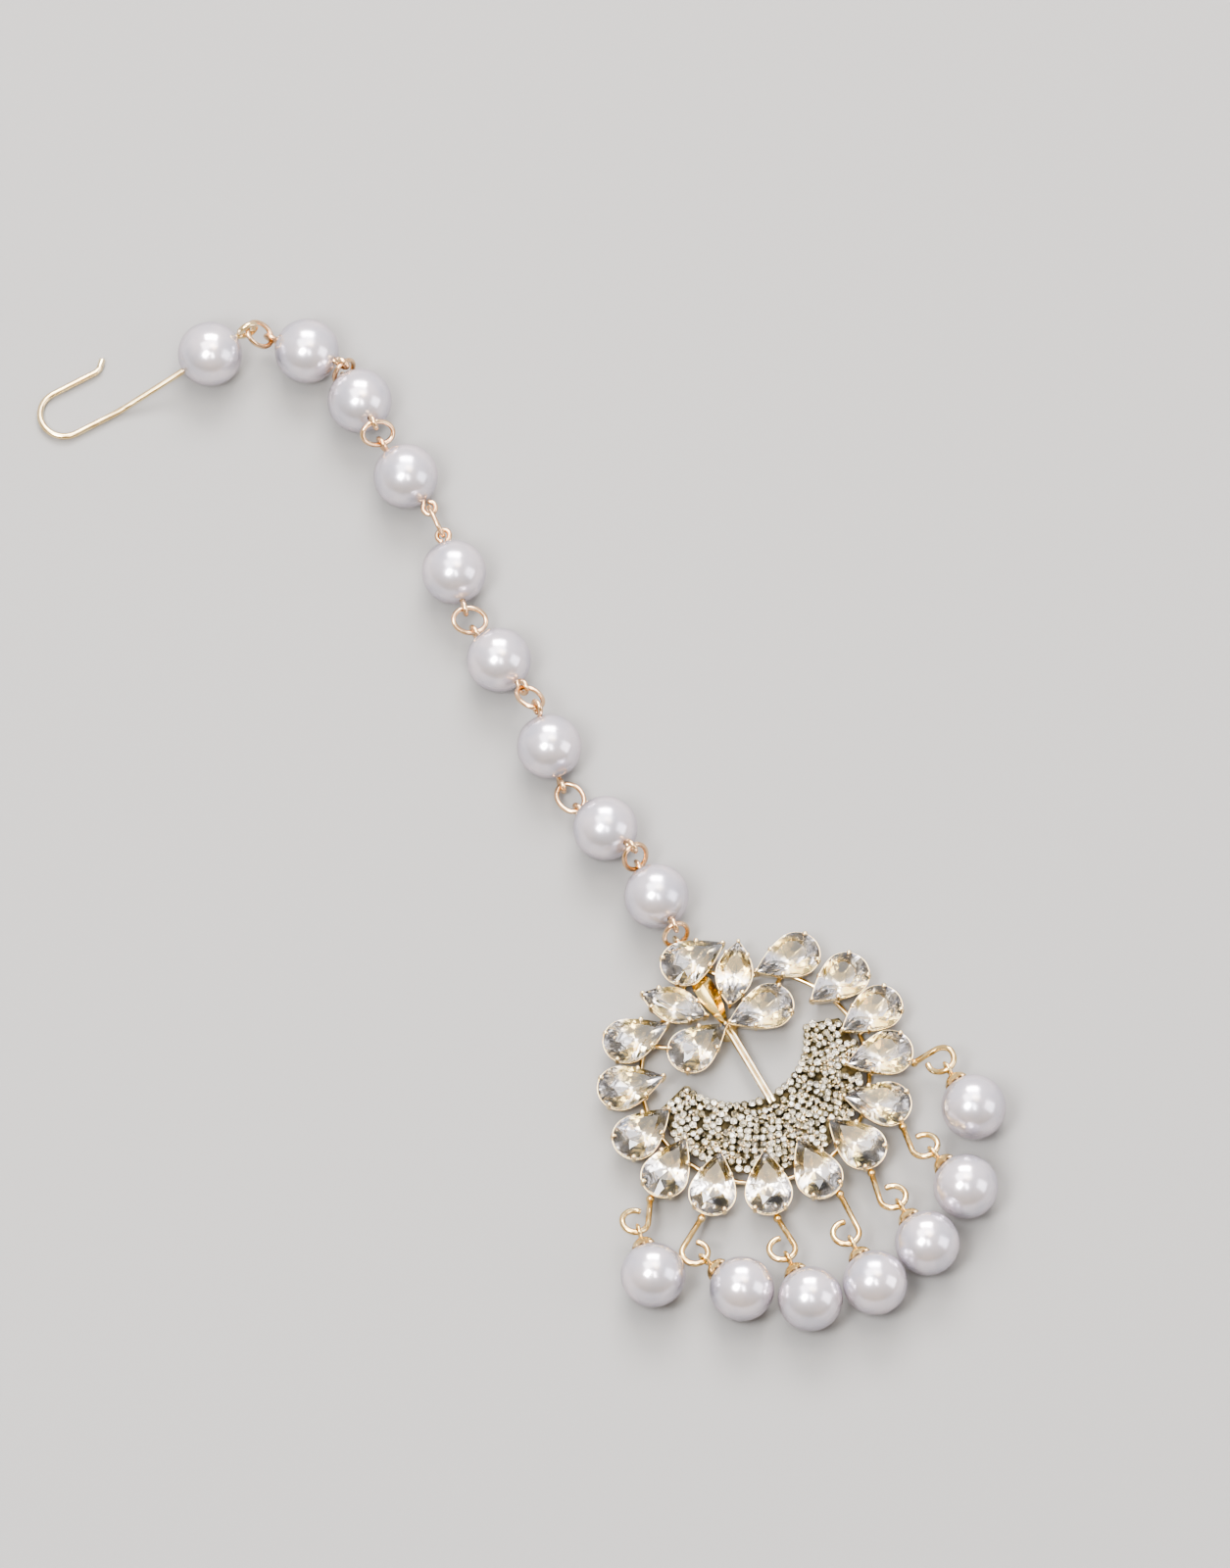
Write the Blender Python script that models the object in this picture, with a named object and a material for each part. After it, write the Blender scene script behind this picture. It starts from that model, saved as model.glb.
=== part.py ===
"""A maang tikka: a pearl chain with a hair hook, and a round stone pendant with seven pearl drops.

It lies on its back on the plane z = 0. X runs across the pendant, Y from the pendant along the
chain towards the hair hook, and Z up through the stones. The origin is the centre of the
pendant's round hub, on its flat back. Sizes here are millimetres, and MM turns them into metres.
"""

from math import asin, atan2, cos, degrees, pi, radians, sin, sqrt

import bmesh
import bpy
from mathutils import Matrix, Vector

MM = 0.001
CLEARANCE = 0.12  # between a stone or pearl and the metal that holds it

# Pearls
PEARL_D = 8.0
PEARL_BORE = 1.2
PEARL_SIDES = 12
PEARL_RINGS = 6

# Wires of the chain
PIN_WIRE = 0.5
EYE_OUTER_D = 2.1
EYE_NECK = 0.05  # pearl to eye
EYE_OPENING = 28  # degrees from the rod to the end of its eye
RING_WIRE = 0.5
RING_LENGTH = 4.6  # over the wire
RING_WIDTH = 3.6
WIRE_SIDES = 5

# Hair hook
HOOK_WIRE = 0.8
HOOK_EYE_OUTER_D = 2.9
HOOK_GAP = 5.2  # clear width between its two legs
HOOK_LEG = 6.0
HOOK_RETURN = 6.5
HOOK_TIP = 1.5  # its bent-out end

# Ring of stones and crescent plate
RING_R = 15.4  # centres of the ring's stones
RING_CENTRE_Y = -6.9
RING_PITCH = 22.5  # degrees between two stones
RAIL_R = 14.0
RAIL_W = 0.9
RAIL_H = 0.85
RAIL_END = 137.0  # degrees from the bottom
CRESCENT_R = 12.6
CRESCENT_END = 96.8  # degrees from the bottom, at the outer edge
CRESCENT_HOLE_R = 8.5
CRESCENT_HOLE_Y = -1.6
CRESCENT_HOLE_END = 73.6  # degrees from the bottom, at the inner edge
PLATE_BOTTOM = 0.15
PLATE_TOP = 1.3

# Stones and their cups
PEAR_LENGTH = 8.3
PEAR_WIDTH = 5.6
PEAR_TAPER = 1.6
MARQUISE_LENGTH = 8.4
MARQUISE_WIDTH = 4.4
MARQUISE_TAPER = 1.9
GIRDLE_Z = 3.2
GIRDLE_H = 0.18
CROWN_H = 0.85
TABLE_SHARE = 0.58
PAVILION_SHARE = 0.82  # depth under the girdle, of half the stone's width
KEEL_SHARE = 0.12  # size of the flat at the pavilion's foot
CUP_RIM = 0.25  # how far the cup shows round the stone
CUP_BASE_Z = 0.2
CUP_BASE_INSET = 0.8  # narrower than the stone at the bottom
CUP_WALL_H = 0.5  # upright part under the rim
CLAW_R = 0.2
CLAW_TOP = 0.45  # above the girdle
CLAW_FOOT = 1.6  # below the girdle
CLAW_SIDES = 4
CLAW_BACK = 0.55  # share of a pear from its round end to its tip, for the two claws on its flanks
CLAW_ALONG = 0.52  # share of a marquise from its middle to its tip

# Hub, bars and bail
HUB_R = 1.3
HUB_H = 1.4
BAR_D = 1.1
BAR_REACH = 15.4  # from the hub's centre, down over the plate
BAR_Z = 1.75
LEAF_WIDE = 2.3
LEAF_NARROW = 0.9
LEAF_BOTTOM = 0.5
LEAF_TOP = 1.5
LINK_W = 0.9
LINK_BOTTOM = 0.25
LINK_H = 0.6
LINK_STEP = 0.02  # each link lies this much higher than the last, so that no two faces are level
BAIL_Z = 1.6
BAIL_OUTER_D = 2.4
BAIL_WIRE = 0.6

# Drops
LUG_D = 1.2
LUG_Z = 2.0
LUG_H = 1.5
LUG_OUT = 0.15  # from the rim of its cup to its centre
LOOP_R = 1.6  # centre line of the open hook
LOOP_WIRE = 0.65
LOOP_SWEEP = 285  # degrees of the loop after the straight stem
CAP_HALF_ANGLE = 25  # degrees of the pearl that the cap covers, each way
CAP_WALL = 0.35
CAP_PLAY = 0.16  # pearl to cap, wide enough for the facets of both
CAP_NECK = 0.35
CAP_SCALLOP = 0.16  # share by which every other point of its edge is shorter
NECK_OVERLAP = 0.2  # how far the neck runs into the dome and into the eye
CAP_EYE_OUTER_D = 2.1
CAP_EYE_WIRE = 0.45
POST_D = 0.8
POST_DEPTH = 2.6
DROP_LENGTH = 13.05  # from the lowest lug to its pearl's centre
DROP_HEADING = -100.1  # of the lowest drop, degrees from +X

# The stones of the ring, from its open end on the left down and up to the one on the right: place
# on the ring, counted from the lowest stone, and the way the round end points, in degrees from +X.
RING_STONES = (
    # step, degrees off that step, radius share, aim
    (-6, 0.0, 0.982, 174),
    (-5, 1.6, 0.995, 167),
    (-4, 1.8, 1.031, -167),
    (-3, -0.7, 1.078, -147),
    (-2, -2.5, 1.029, -129),
    (-1, -0.7, 0.975, -114),
    (0, 0.0, 0.963, -91),
    (1, 0.8, 1.000, -70),
    (2, -0.3, 1.010, -39),
    (3, 0.3, 0.993, -12),
    (4, -1.4, 1.034, 5),
    (5, -2.6, 1.001, 10),
    (6, 1.0, 0.979, -4),
)
TOP_STONE_SHARE = 1.062
TOP_STONE_X = 0.45

# The four stones of the flower round the hub.
PETALS = (
    # node, cut, aim, hub centre to the near tip
    ("petal_pear_1", "pear", 190, 0.31),
    ("petal_pear_2", "pear", -5, 0.2),
    ("petal_marquise_1", "marquise", 131, 2.8),
    ("petal_marquise_2", "marquise", 54, 2.39),
)

# The seven drops, left to right. The pearls follow each other outwards from the lowest one.
DROPS = (
    # step on the ring, lug's turn from that stone's aim, heading from the pearl before it, gap
    # to it, way the cap faces, stem side
    (-3, -5, 141.5, 3.0, 78, -1),
    (-2, -15, 142, 0.45, 111, 1),
    (-1, 15, 166, 0.2, 88, -1),
    (0, 25, 0, 0, 89, -1),
    (1, -30, 10, 0.25, 95, 1),
    (2, -45, 28.5, 0.8, 103, 1),
    (3, -35, 55.5, 2.5, 93, -1),
)
LOWEST_DROP = 3

# The chain's chosen route, from the pendant up: how each pearl's pin heads from +X, how steeply
# the ring below it rises, how far that ring is rolled from lying flat, and how far the oval is
# turned in its own plane where the chain lies slack. All are degrees.
ROUTE = (
    # pearl, heading, rise, roll, turn
    (9, 87, 73, 0, 0),
    (8, 105.5, 66.5, 0, 0),
    (7, 81, -5, 0, 0),
    (6, 97, -23, 25, 0),
    (5, 76, 22, 0, 60),
    (4, 96, 0, 80, 0),
    (3, 84.5, 48, 0, 60),
    (2, 124, 81, 0, 0),
    (1, 180, 44, 0, 0),
)

PEARL_R = PEARL_D / 2
EYE_R = (EYE_OUTER_D - PIN_WIRE) / 2
PIN_REACH = PEARL_R + EYE_NECK + EYE_OUTER_D / 2
HOOK_EYE_R = (HOOK_EYE_OUTER_D - HOOK_WIRE) / 2
HOOK_REACH = PEARL_R + EYE_NECK + HOOK_EYE_R + HOOK_WIRE / 2
RING_A = (RING_LENGTH - RING_WIRE) / 2
RING_B = (RING_WIDTH - RING_WIRE) / 2
BAIL_R = (BAIL_OUTER_D - BAIL_WIRE) / 2
CAP_EYE_R = (CAP_EYE_OUTER_D - CAP_EYE_WIRE) / 2
CAP_TOP = PEARL_R + CAP_PLAY + CAP_WALL
DROP_REACH = CAP_TOP + CAP_NECK + CAP_EYE_OUTER_D / 2
UP = Vector((0, 0, 1))


def clear_scene():
    for old in list(bpy.data.objects):
        bpy.data.objects.remove(old, do_unlink=True)


def material(name, colour, roughness, metallic, transmission=0.0):
    made = bpy.data.materials.new(name)
    made.use_nodes = True
    shader = made.node_tree.nodes["Principled BSDF"]
    shader.inputs["Base Color"].default_value = (*colour, 1)
    shader.inputs["Roughness"].default_value = roughness
    shader.inputs["Metallic"].default_value = metallic
    shader.inputs["Transmission Weight"].default_value = transmission
    made.diffuse_color = (*colour, 1)
    return made


def mesh_from(name, points, faces):
    """A mesh of these points in millimetres, with its faces turned outwards."""
    mesh = bpy.data.meshes.new(name)
    mesh.from_pydata([Vector(point) * MM for point in points], [], faces)
    work = bmesh.new()
    work.from_mesh(mesh)
    bmesh.ops.recalc_face_normals(work, faces=work.faces)
    work.to_mesh(mesh)
    work.free()
    return mesh


def place(name, mesh, look, at=(0, 0, 0), turn=None, collection=None):
    """An object of this mesh at a place in millimetres, turned by a 3x3 matrix."""
    made = bpy.data.objects.new(name, mesh)
    if look.name not in mesh.materials:
        mesh.materials.append(look)
    made.location = Vector(at) * MM
    if turn is not None:
        made.rotation_euler = turn.to_euler()
    (collection or bpy.context.scene.collection).objects.link(made)
    return made


def smooth(mesh, angle=40):
    mesh.shade_smooth()
    mesh.set_sharp_from_angle(angle=radians(angle))


def heading(angle, rise=0.0):
    """The unit vector at this angle from +X and this rise from level, in degrees."""
    flat = cos(radians(rise))
    return Vector((flat * cos(radians(angle)), flat * sin(radians(angle)), sin(radians(rise))))


def frame_of(along, side):
    """A turn whose Z is along, and whose X is side made square to it."""
    z = along.normalized()
    x = (side - z * side.dot(z)).normalized()
    return Matrix((x, z.cross(x), z)).transposed()


def loft(sections, closed=False):
    """Points and faces through sections of the same count, with flat ends unless it closes."""
    count = len(sections[0])
    points = [point for section in sections for point in section]
    faces = []
    spans = len(sections) if closed else len(sections) - 1
    for i in range(spans):
        low = i * count
        high = (i + 1) % len(sections) * count
        for j in range(count):
            k = (j + 1) % count
            faces.append((low + j, low + k, high + k, high + j))
    if not closed:
        last = (len(sections) - 1) * count
        faces.append(tuple(range(count))[::-1])
        faces.append(tuple(range(last, last + count)))
    return points, faces


def tube(name, path, wire_d, sides=WIRE_SIDES, closed=False):
    """A round wire along the path."""
    count = len(path)
    sections = []
    side = None
    for i, point in enumerate(path):
        before = path[i - 1] if closed or i else point
        after = path[(i + 1) % count] if closed or i < count - 1 else point
        into = (point - before).normalized()
        out = (after - point).normalized()
        along = (into + out).normalized()
        widen = 1 / max(along.dot(out), along.dot(into))
        if side is None:
            side = along.orthogonal()
        side = (side - along * side.dot(along)).normalized()
        other = along.cross(side)
        bend = out - into
        section = []
        for j in range(sides):
            angle = 2 * pi * j / sides
            offset = (side * cos(angle) + other * sin(angle)) * wire_d / 2
            if bend.length > 1e-6 and into.length and out.length:
                inward = bend.normalized()
                offset += inward * offset.dot(inward) * (widen - 1)
            section.append(point + offset)
        sections.append(section)
    if closed:
        sections = closing_twist_removed(sections, path)
    return mesh_from(name, *loft(sections, closed))


def closing_twist_removed(sections, path):
    """A flat closed path needs no twist: its sections are set from the path's own plane."""
    centre = sum(path, Vector()) / len(path)
    normal = (path[0] - centre).cross(path[1] - centre).normalized()
    count = len(sections[0])
    wire_r = (sections[0][0] - path[0]).length
    squared = []
    for i, point in enumerate(path):
        along = (path[(i + 1) % len(path)] - path[i - 1]).normalized()
        outward = along.cross(normal)
        angles = [2 * pi * j / count for j in range(count)]
        squared.append([point + (outward * cos(a) + normal * sin(a)) * wire_r for a in angles])
    return squared


def lathe(name, profile, sides):
    """A turned solid about Z from (radius, height) points. A radius of 0 closes it on the axis."""
    points = []
    rows = []
    for radius, height in profile:
        if radius == 0:
            rows.append([len(points)])
            points.append((0, 0, height))
            continue
        rows.append([len(points) + j for j in range(sides)])
        for j in range(sides):
            angle = 2 * pi * j / sides
            points.append((radius * cos(angle), radius * sin(angle), height))
    faces = []
    for i, row in enumerate(rows):
        following = rows[(i + 1) % len(rows)]
        if len(row) == 1 and len(following) == 1:
            continue
        for j in range(sides):
            k = (j + 1) % sides
            if len(row) == 1:
                faces.append((row[0], following[k], following[j]))
            elif len(following) == 1:
                faces.append((row[j], row[k], following[0]))
            else:
                faces.append((row[j], row[k], following[k], following[j]))
    return mesh_from(name, points, faces)


def drilled_pearl():
    """A round pearl with a bore right through it."""
    mouth = asin(PEARL_BORE / PEARL_D)
    steps = [mouth + (pi - 2 * mouth) * i / PEARL_RINGS for i in range(PEARL_RINGS + 1)]
    profile = [(PEARL_R * sin(a), PEARL_R * cos(a)) for a in steps]
    mesh = lathe("drilled pearl", profile, PEARL_SIDES)
    smooth(mesh)
    return mesh


def half_drilled_pearl():
    """A round pearl with a blind bore from its top for the cap's post."""
    mouth = asin(PEARL_BORE / PEARL_D)
    steps = [mouth + (pi - mouth) * i / PEARL_RINGS for i in range(PEARL_RINGS)]
    bore_floor = PEARL_R - POST_DEPTH - 2 * CLEARANCE
    profile = [(0, bore_floor), (PEARL_BORE / 2, bore_floor)]
    profile += [(PEARL_R * sin(a), PEARL_R * cos(a)) for a in steps]
    profile.append((0, -PEARL_R))
    mesh = lathe("half-drilled pearl", profile, PEARL_SIDES)
    smooth(mesh)
    return mesh


def eye_path(centre, along, normal, radius, steps=8):
    """Round an eye from the rod that comes in along this way. It stops just short of the rod."""
    across = normal.cross(along)
    path = []
    for i in range(steps + 1):
        angle = radians(EYE_OPENING + (360 - 2 * EYE_OPENING) * i / steps)
        path.append(centre - along * radius * cos(angle) + across * radius * sin(angle))
    return path


def square_to(normal, along):
    return (normal - along * normal.dot(along)).normalized()


def eye_pin(name, centre, along, normals, look):
    """A straight wire through a pearl, with an eye at its lower and its upper end."""
    lower = centre - along * PIN_REACH
    upper = centre + along * PIN_REACH
    stub = EYE_R + PIN_WIRE / 2
    first = eye_path(lower, -along, square_to(normals[0], along), EYE_R)
    second = eye_path(upper, along, square_to(normals[1], along), EYE_R)
    path = first[::-1] + [lower + along * stub, upper - along * stub] + second
    mesh = tube(name, path, PIN_WIRE)
    smooth(mesh, 70)
    place(name, mesh, look)


def ring_span(turn):
    """How far apart the oval's wire lies across its centre, at this turn from its long way."""
    angle = radians(turn)
    return 2 / sqrt((cos(angle) / RING_A) ** 2 + (sin(angle) / RING_B) ** 2)


def chain_ring(name, middle, along, side, turn, look):
    """An oval wire ring, whose long way is turned from along, in the plane of along and side."""
    steps = 12
    angle = radians(turn)
    long_way = along * cos(angle) - side * sin(angle)
    short_way = along * sin(angle) + side * cos(angle)
    path = []
    for i in range(steps):
        a = 2 * pi * i / steps
        path.append(middle + long_way * RING_A * cos(a) + short_way * RING_B * sin(a))
    mesh = tube(name, path, RING_WIRE, closed=True)
    smooth(mesh, 70)
    place(name, mesh, look)


def hair_hook(centre, along, normal, look):
    """A wire with an eye for the last ring, a shank through pearl 1 and a flat U-shaped hook."""
    eye_centre = centre - along * HOOK_REACH
    stub = HOOK_EYE_R + HOOK_WIRE / 2
    path = eye_path(eye_centre, -along, square_to(normal, along), HOOK_EYE_R)
    path = path[::-1] + [eye_centre + along * stub]
    floor_z = HOOK_WIRE / 2
    run = (centre.z - floor_z) / -along.z
    landing = centre + along * run
    flat = Vector((along.x, along.y, 0)).normalized()
    side = flat.cross(UP)
    bend = landing + flat * HOOK_LEG
    radius = (HOOK_GAP + HOOK_WIRE) / 2
    path += [landing]
    for i in range(8):
        angle = pi * i / 7
        path.append(bend + flat * radius * sin(angle) + side * radius * (1 - cos(angle)))
    path.append(path[-1] - flat * HOOK_RETURN)
    path.append(path[-1] - (flat - side).normalized() * HOOK_TIP)
    mesh = tube("hair_hook", path, HOOK_WIRE, sides=6)
    smooth(mesh, 70)
    place("hair_hook", mesh, look)


def outline(kind, length, width, sides=10):
    """A stone's outline seen from above: its round end or outer tip at +X."""
    half = width / 2
    points = []
    if kind == "pear":
        middle = length / 2 - half
        tail = middle + length / 2
        shares = (0.25, 0.55, 0.82)
        upper = [(middle - tail * s, half * (1 - s**PEAR_TAPER)) for s in shares]
        for i in range(5):
            angle = pi / 2 - pi * i / 4
            points.append((middle + half * cos(angle), half * sin(angle)))
        lower = [(x, -y) for x, y in upper]
        return points + lower + [(-length / 2, 0)] + upper[::-1]
    for i in range(sides):
        angle = 2 * pi * i / sides
        x = length / 2 * cos(angle)
        share = abs(cos(angle))
        y = half * (1 - share**MARQUISE_TAPER) * (1 if sin(angle) >= 0 else -1)
        points.append((x, y))
    return points


def stone_size(kind):
    return (PEAR_LENGTH, PEAR_WIDTH) if kind == "pear" else (MARQUISE_LENGTH, MARQUISE_WIDTH)


def level(kind, grow, height, share=1.0):
    """One section of a stone or cup: the outline, larger all round by grow, at a height."""
    length, width = stone_size(kind)
    flat = outline(kind, length + 2 * grow, width + 2 * grow)
    return [(x * share, y * share, height) for x, y in flat]


def pavilion_depth(kind):
    return stone_size(kind)[1] / 2 * PAVILION_SHARE


def stone_mesh(kind):
    """A cut stone: table, sloping crown, girdle and a pavilion. Its girdle's foot is at z = 0."""
    sections = (
        level(kind, 0, -pavilion_depth(kind) * (1 - KEEL_SHARE), KEEL_SHARE),
        level(kind, 0, 0),
        level(kind, 0, GIRDLE_H),
        level(kind, 0, GIRDLE_H + CROWN_H, TABLE_SHARE),
    )
    return mesh_from(kind + " stone", *loft(sections))


def cup_mesh(kind):
    """A cup whose hollow follows the stone's pavilion. Its rim ends just under the girdle."""
    drop = CLEARANCE / cos(atan2(PAVILION_SHARE, 1))
    rim_z = -drop
    base_z = CUP_BASE_Z - GIRDLE_Z
    sections = (
        level(kind, -CUP_BASE_INSET, base_z),
        level(kind, CUP_RIM, rim_z - CUP_WALL_H),
        level(kind, CUP_RIM, rim_z),
        level(kind, 0, rim_z),
        level(kind, 0, rim_z - pavilion_depth(kind) * (1 - KEEL_SHARE), KEEL_SHARE),
    )
    return mesh_from(kind + " cup", *loft(sections))


def claw_spots(kind):
    """Where the claws stand round a stone, in the stone's own plane."""
    length, width = stone_size(kind)
    out = CLEARANCE + CLAW_R
    half = width / 2
    if kind == "pear":
        middle = length / 2 - half
        reach = (half + out) * sin(pi / 4)
        back = middle - (middle + length / 2) * CLAW_BACK
        flank = half * (1 - CLAW_BACK**PEAR_TAPER) + out
        return [(middle + reach, reach), (middle + reach, -reach), (back, flank), (back, -flank)]
    along = length / 2 * CLAW_ALONG
    flank = half * (1 - CLAW_ALONG**MARQUISE_TAPER) + out
    return [(along, flank), (along, -flank), (-along, flank), (-along, -flank)]


def round_bar(name, radius, low, high, sides):
    return lathe(name, [(0, low), (radius, low), (radius, high), (0, high)], sides)


def sector(name, centre_y, inner, outer, start, end, low, high, steps):
    """A flat curved bar about (0, centre_y), between two angles from straight down."""
    angles = [radians(start + (end - start) * i / steps) for i in range(steps + 1)]
    sections = []
    for a in angles:
        ends = ((inner, low), (outer, low), (outer, high), (inner, high))
        sections.append([(r * sin(a), centre_y - r * cos(a), z) for r, z in ends])
    return mesh_from(name, *loft(sections))


def crescent_mesh():
    """The plate for the small stones: a circle with a higher, smaller circle cut out of it."""
    steps = 16
    sections = []
    for i in range(steps + 1):
        share = 2 * i / steps - 1
        outer = radians(CRESCENT_END * share)
        inner = radians(CRESCENT_HOLE_END * share)
        far = (CRESCENT_R * sin(outer), RING_CENTRE_Y - CRESCENT_R * cos(outer))
        near = (CRESCENT_HOLE_R * sin(inner), CRESCENT_HOLE_Y - CRESCENT_HOLE_R * cos(inner))
        sections.append([
            (*near, PLATE_BOTTOM),
            (*far, PLATE_BOTTOM),
            (*far, PLATE_TOP),
            (*near, PLATE_TOP),
        ])
    return mesh_from("crescent", *loft(sections))


def flat_link(name, start, end, start_w, end_w, low, high):
    """A flat bar between two places in the plane, of one width at each end."""
    a = Vector((*start, 0))
    b = Vector((*end, 0))
    side = (b - a).normalized().cross(UP)
    sections = []
    for spot, width in ((a, start_w), (b, end_w)):
        ends = ((1, low), (1, high), (-1, high), (-1, low))
        sections.append([spot + side * s * width / 2 + UP * z for s, z in ends])
    return mesh_from(name, *loft(sections))


def ring_seat(step):
    """The place and aim of the ring's stone at this step from the lowest one."""
    shift, share, aim = {row[0]: row[1:] for row in RING_STONES}[step]
    down = heading(step * RING_PITCH + shift - 90)
    return Vector((0, RING_CENTRE_Y, 0)) + down * RING_R * share, aim


def stone_seats():
    """Each stone's node name, cut, place in the plane and aim."""
    seats = []
    for number, row in enumerate(RING_STONES, 1):
        seats.append((f"ring_stone_{number}", "pear", *ring_seat(row[0])))
    top = Vector((TOP_STONE_X, RING_CENTRE_Y + RING_R * TOP_STONE_SHARE, 0))
    seats.append(("top_stone", "pear", top, 180))
    for name, cut, aim, gap in PETALS:
        seats.append((name, cut, heading(aim) * (gap + stone_size(cut)[0] / 2), aim))
    return seats


def lug_place(step, turn):
    """The lug on the round end of the ring's stone at this step, turned from the stone's aim."""
    centre, aim = ring_seat(step)
    middle = centre + heading(aim) * (PEAR_LENGTH - PEAR_WIDTH) / 2
    return middle + heading(aim + turn) * (PEAR_WIDTH / 2 + CUP_RIM + LUG_OUT)


def drop_layout():
    """Each drop's number, lug, pearl centre and the way its cap faces."""
    lugs = [lug_place(row[0], row[1]) + UP * LUG_Z for row in DROPS]
    pearls = [None] * len(DROPS)
    lowest = lugs[LOWEST_DROP] + heading(DROP_HEADING) * DROP_LENGTH
    pearls[LOWEST_DROP] = Vector((lowest.x, lowest.y, PEARL_R))
    order = list(range(LOWEST_DROP - 1, -1, -1)) + list(range(LOWEST_DROP + 1, len(DROPS)))
    for i in order:
        before = pearls[i + 1] if i < LOWEST_DROP else pearls[i - 1]
        pearls[i] = before + heading(DROPS[i][2]) * (PEARL_D + DROPS[i][3])
    return [(i + 1, lugs[i], pearls[i], heading(DROPS[i][4]), DROPS[i][5]) for i in range(len(DROPS))]


def open_hook(name, lug, pearl, facing, side):
    """An open wire hook: a stem from the lug that runs round a loop held by the cap's eye."""
    far = pearl + facing * DROP_REACH
    centre = far + facing * LOOP_R
    away = Vector((centre.x - lug.x, centre.y - lug.y, 0))
    straight = degrees(atan2(away.y, away.x))
    touch = degrees(asin(LOOP_R / away.length))
    start = straight + 180 + side * (90 - touch)
    steps = 10
    path = [Vector((lug.x, lug.y, lug.z))]
    for i in range(steps + 1):
        angle = start + side * LOOP_SWEEP * i / steps
        point = centre + heading(angle) * LOOP_R
        share = (point - lug).dot(away) / ((far - lug).dot(away))
        point.z = lug.z + (far.z - lug.z) * min(1, share)
        path.append(point)
    return tube(name, path, LOOP_WIRE)


def bail_place():
    """The loop at the pendant's top, whose far wire the first ring holds. It grows from a cup."""
    climb = (BAIL_Z - CUP_BASE_Z) / (GIRDLE_Z - CUP_BASE_Z)
    wall = PEAR_WIDTH / 2 - CUP_BASE_INSET + (CUP_BASE_INSET + CUP_RIM) * climb
    seat = RING_CENTRE_Y + RING_R * TOP_STONE_SHARE + wall
    return Vector((0, seat + BAIL_R - BAIL_WIRE / 2, BAIL_Z))


def circle_path(centre, normal, radius, steps=8):
    across = normal.orthogonal().normalized()
    other = normal.cross(across)
    angles = [2 * pi * i / steps for i in range(steps)]
    return [centre + (across * cos(a) + other * sin(a)) * radius for a in angles]


def pendant_frame(look):
    """One soldered solid: hub, rail, plate, cups and claws, bars, bail, lugs and hooks."""
    solder = bpy.data.collections.new("soldered pieces")
    bpy.context.scene.collection.children.link(solder)

    def solder_on(name, mesh, at=(0, 0, 0), aim=None):
        turn = Matrix.Rotation(radians(aim), 3, "Z") if aim is not None else None
        piece = place(name, mesh, look, at, turn, solder)
        piece.hide_render = True
        piece.display_type = "WIRE"

    rail_in = RAIL_R - RAIL_W / 2
    rail_out = RAIL_R + RAIL_W / 2
    rail = sector("rail", RING_CENTRE_Y, rail_in, rail_out, -RAIL_END, RAIL_END, 0, RAIL_H, 18)
    solder_on("rail", rail)
    solder_on("plate", crescent_mesh())
    solder_on("bar", tube(
        "bar", [Vector((0, 0, BAR_Z)), Vector((0, -BAR_REACH, BAR_Z))], BAR_D, sides=8
    ))
    leaf_end = RING_CENTRE_Y + RING_R * TOP_STONE_SHARE - PEAR_WIDTH / 2 + CUP_BASE_INSET
    solder_on("leaf", flat_link(
        "leaf", (0, 0), (0, leaf_end), LEAF_NARROW, LEAF_WIDE, LEAF_BOTTOM, LEAF_TOP
    ))
    seats = stone_seats()
    spots = {name: (at, aim) for name, kind, at, aim in seats}
    joins = (
        ("petal_marquise_1", "ring_stone_1"), ("petal_marquise_2", "ring_stone_13"),
        ("petal_pear_1", "ring_stone_1"), ("petal_pear_2", "ring_stone_13"),
        ("petal_marquise_1", "top_stone"), ("petal_marquise_2", "top_stone"),
        ("ring_stone_1", "ring_stone_2"), ("ring_stone_13", "ring_stone_12"),
    )
    for number, (one, other) in enumerate(joins):
        low = LINK_BOTTOM + LINK_STEP * number
        solder_on(f"link {number}", flat_link(
            "link", spots[one][0][:2], spots[other][0][:2], LINK_W, LINK_W, low, low + LINK_H
        ))
    cups = {kind: cup_mesh(kind) for kind in ("pear", "marquise")}
    claw = round_bar("claw", CLAW_R, -CLAW_FOOT, GIRDLE_H + CLAW_TOP, CLAW_SIDES)
    for name, kind, at, aim in seats:
        solder_on("cup of " + name, cups[kind], at + UP * GIRDLE_Z, aim)
        turn = Matrix.Rotation(radians(aim), 3, "Z")
        for x, y in claw_spots(kind):
            solder_on("claw", claw, at + turn @ Vector((x, y, 0)) + UP * GIRDLE_Z, aim)
    lug = round_bar("lug", LUG_D / 2, -LUG_H / 2, LUG_H / 2, 6)
    for number, lug_at, pearl, facing, side in drop_layout():
        solder_on(f"lug {number}", lug, lug_at)
        solder_on(f"hook {number}", open_hook("open hook", lug_at, pearl, facing, side))
    bail = circle_path(bail_place(), Vector((1, 0, 0)), BAIL_R)
    solder_on("bail", tube("bail", bail, BAIL_WIRE, closed=True))

    frame = place("pendant_frame", round_bar("hub", HUB_R, 0, HUB_H, 14), look)
    union = frame.modifiers.new("solder", "BOOLEAN")
    union.operation = "UNION"
    union.solver = "EXACT"
    union.operand_type = "COLLECTION"
    union.collection = solder


def stones(look):
    cuts = {kind: stone_mesh(kind) for kind in ("pear", "marquise")}
    for name, kind, at, aim in stone_seats():
        turn = Matrix.Rotation(radians(aim), 3, "Z")
        place(name, cuts[kind], look, at + UP * GIRDLE_Z, turn)


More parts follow.
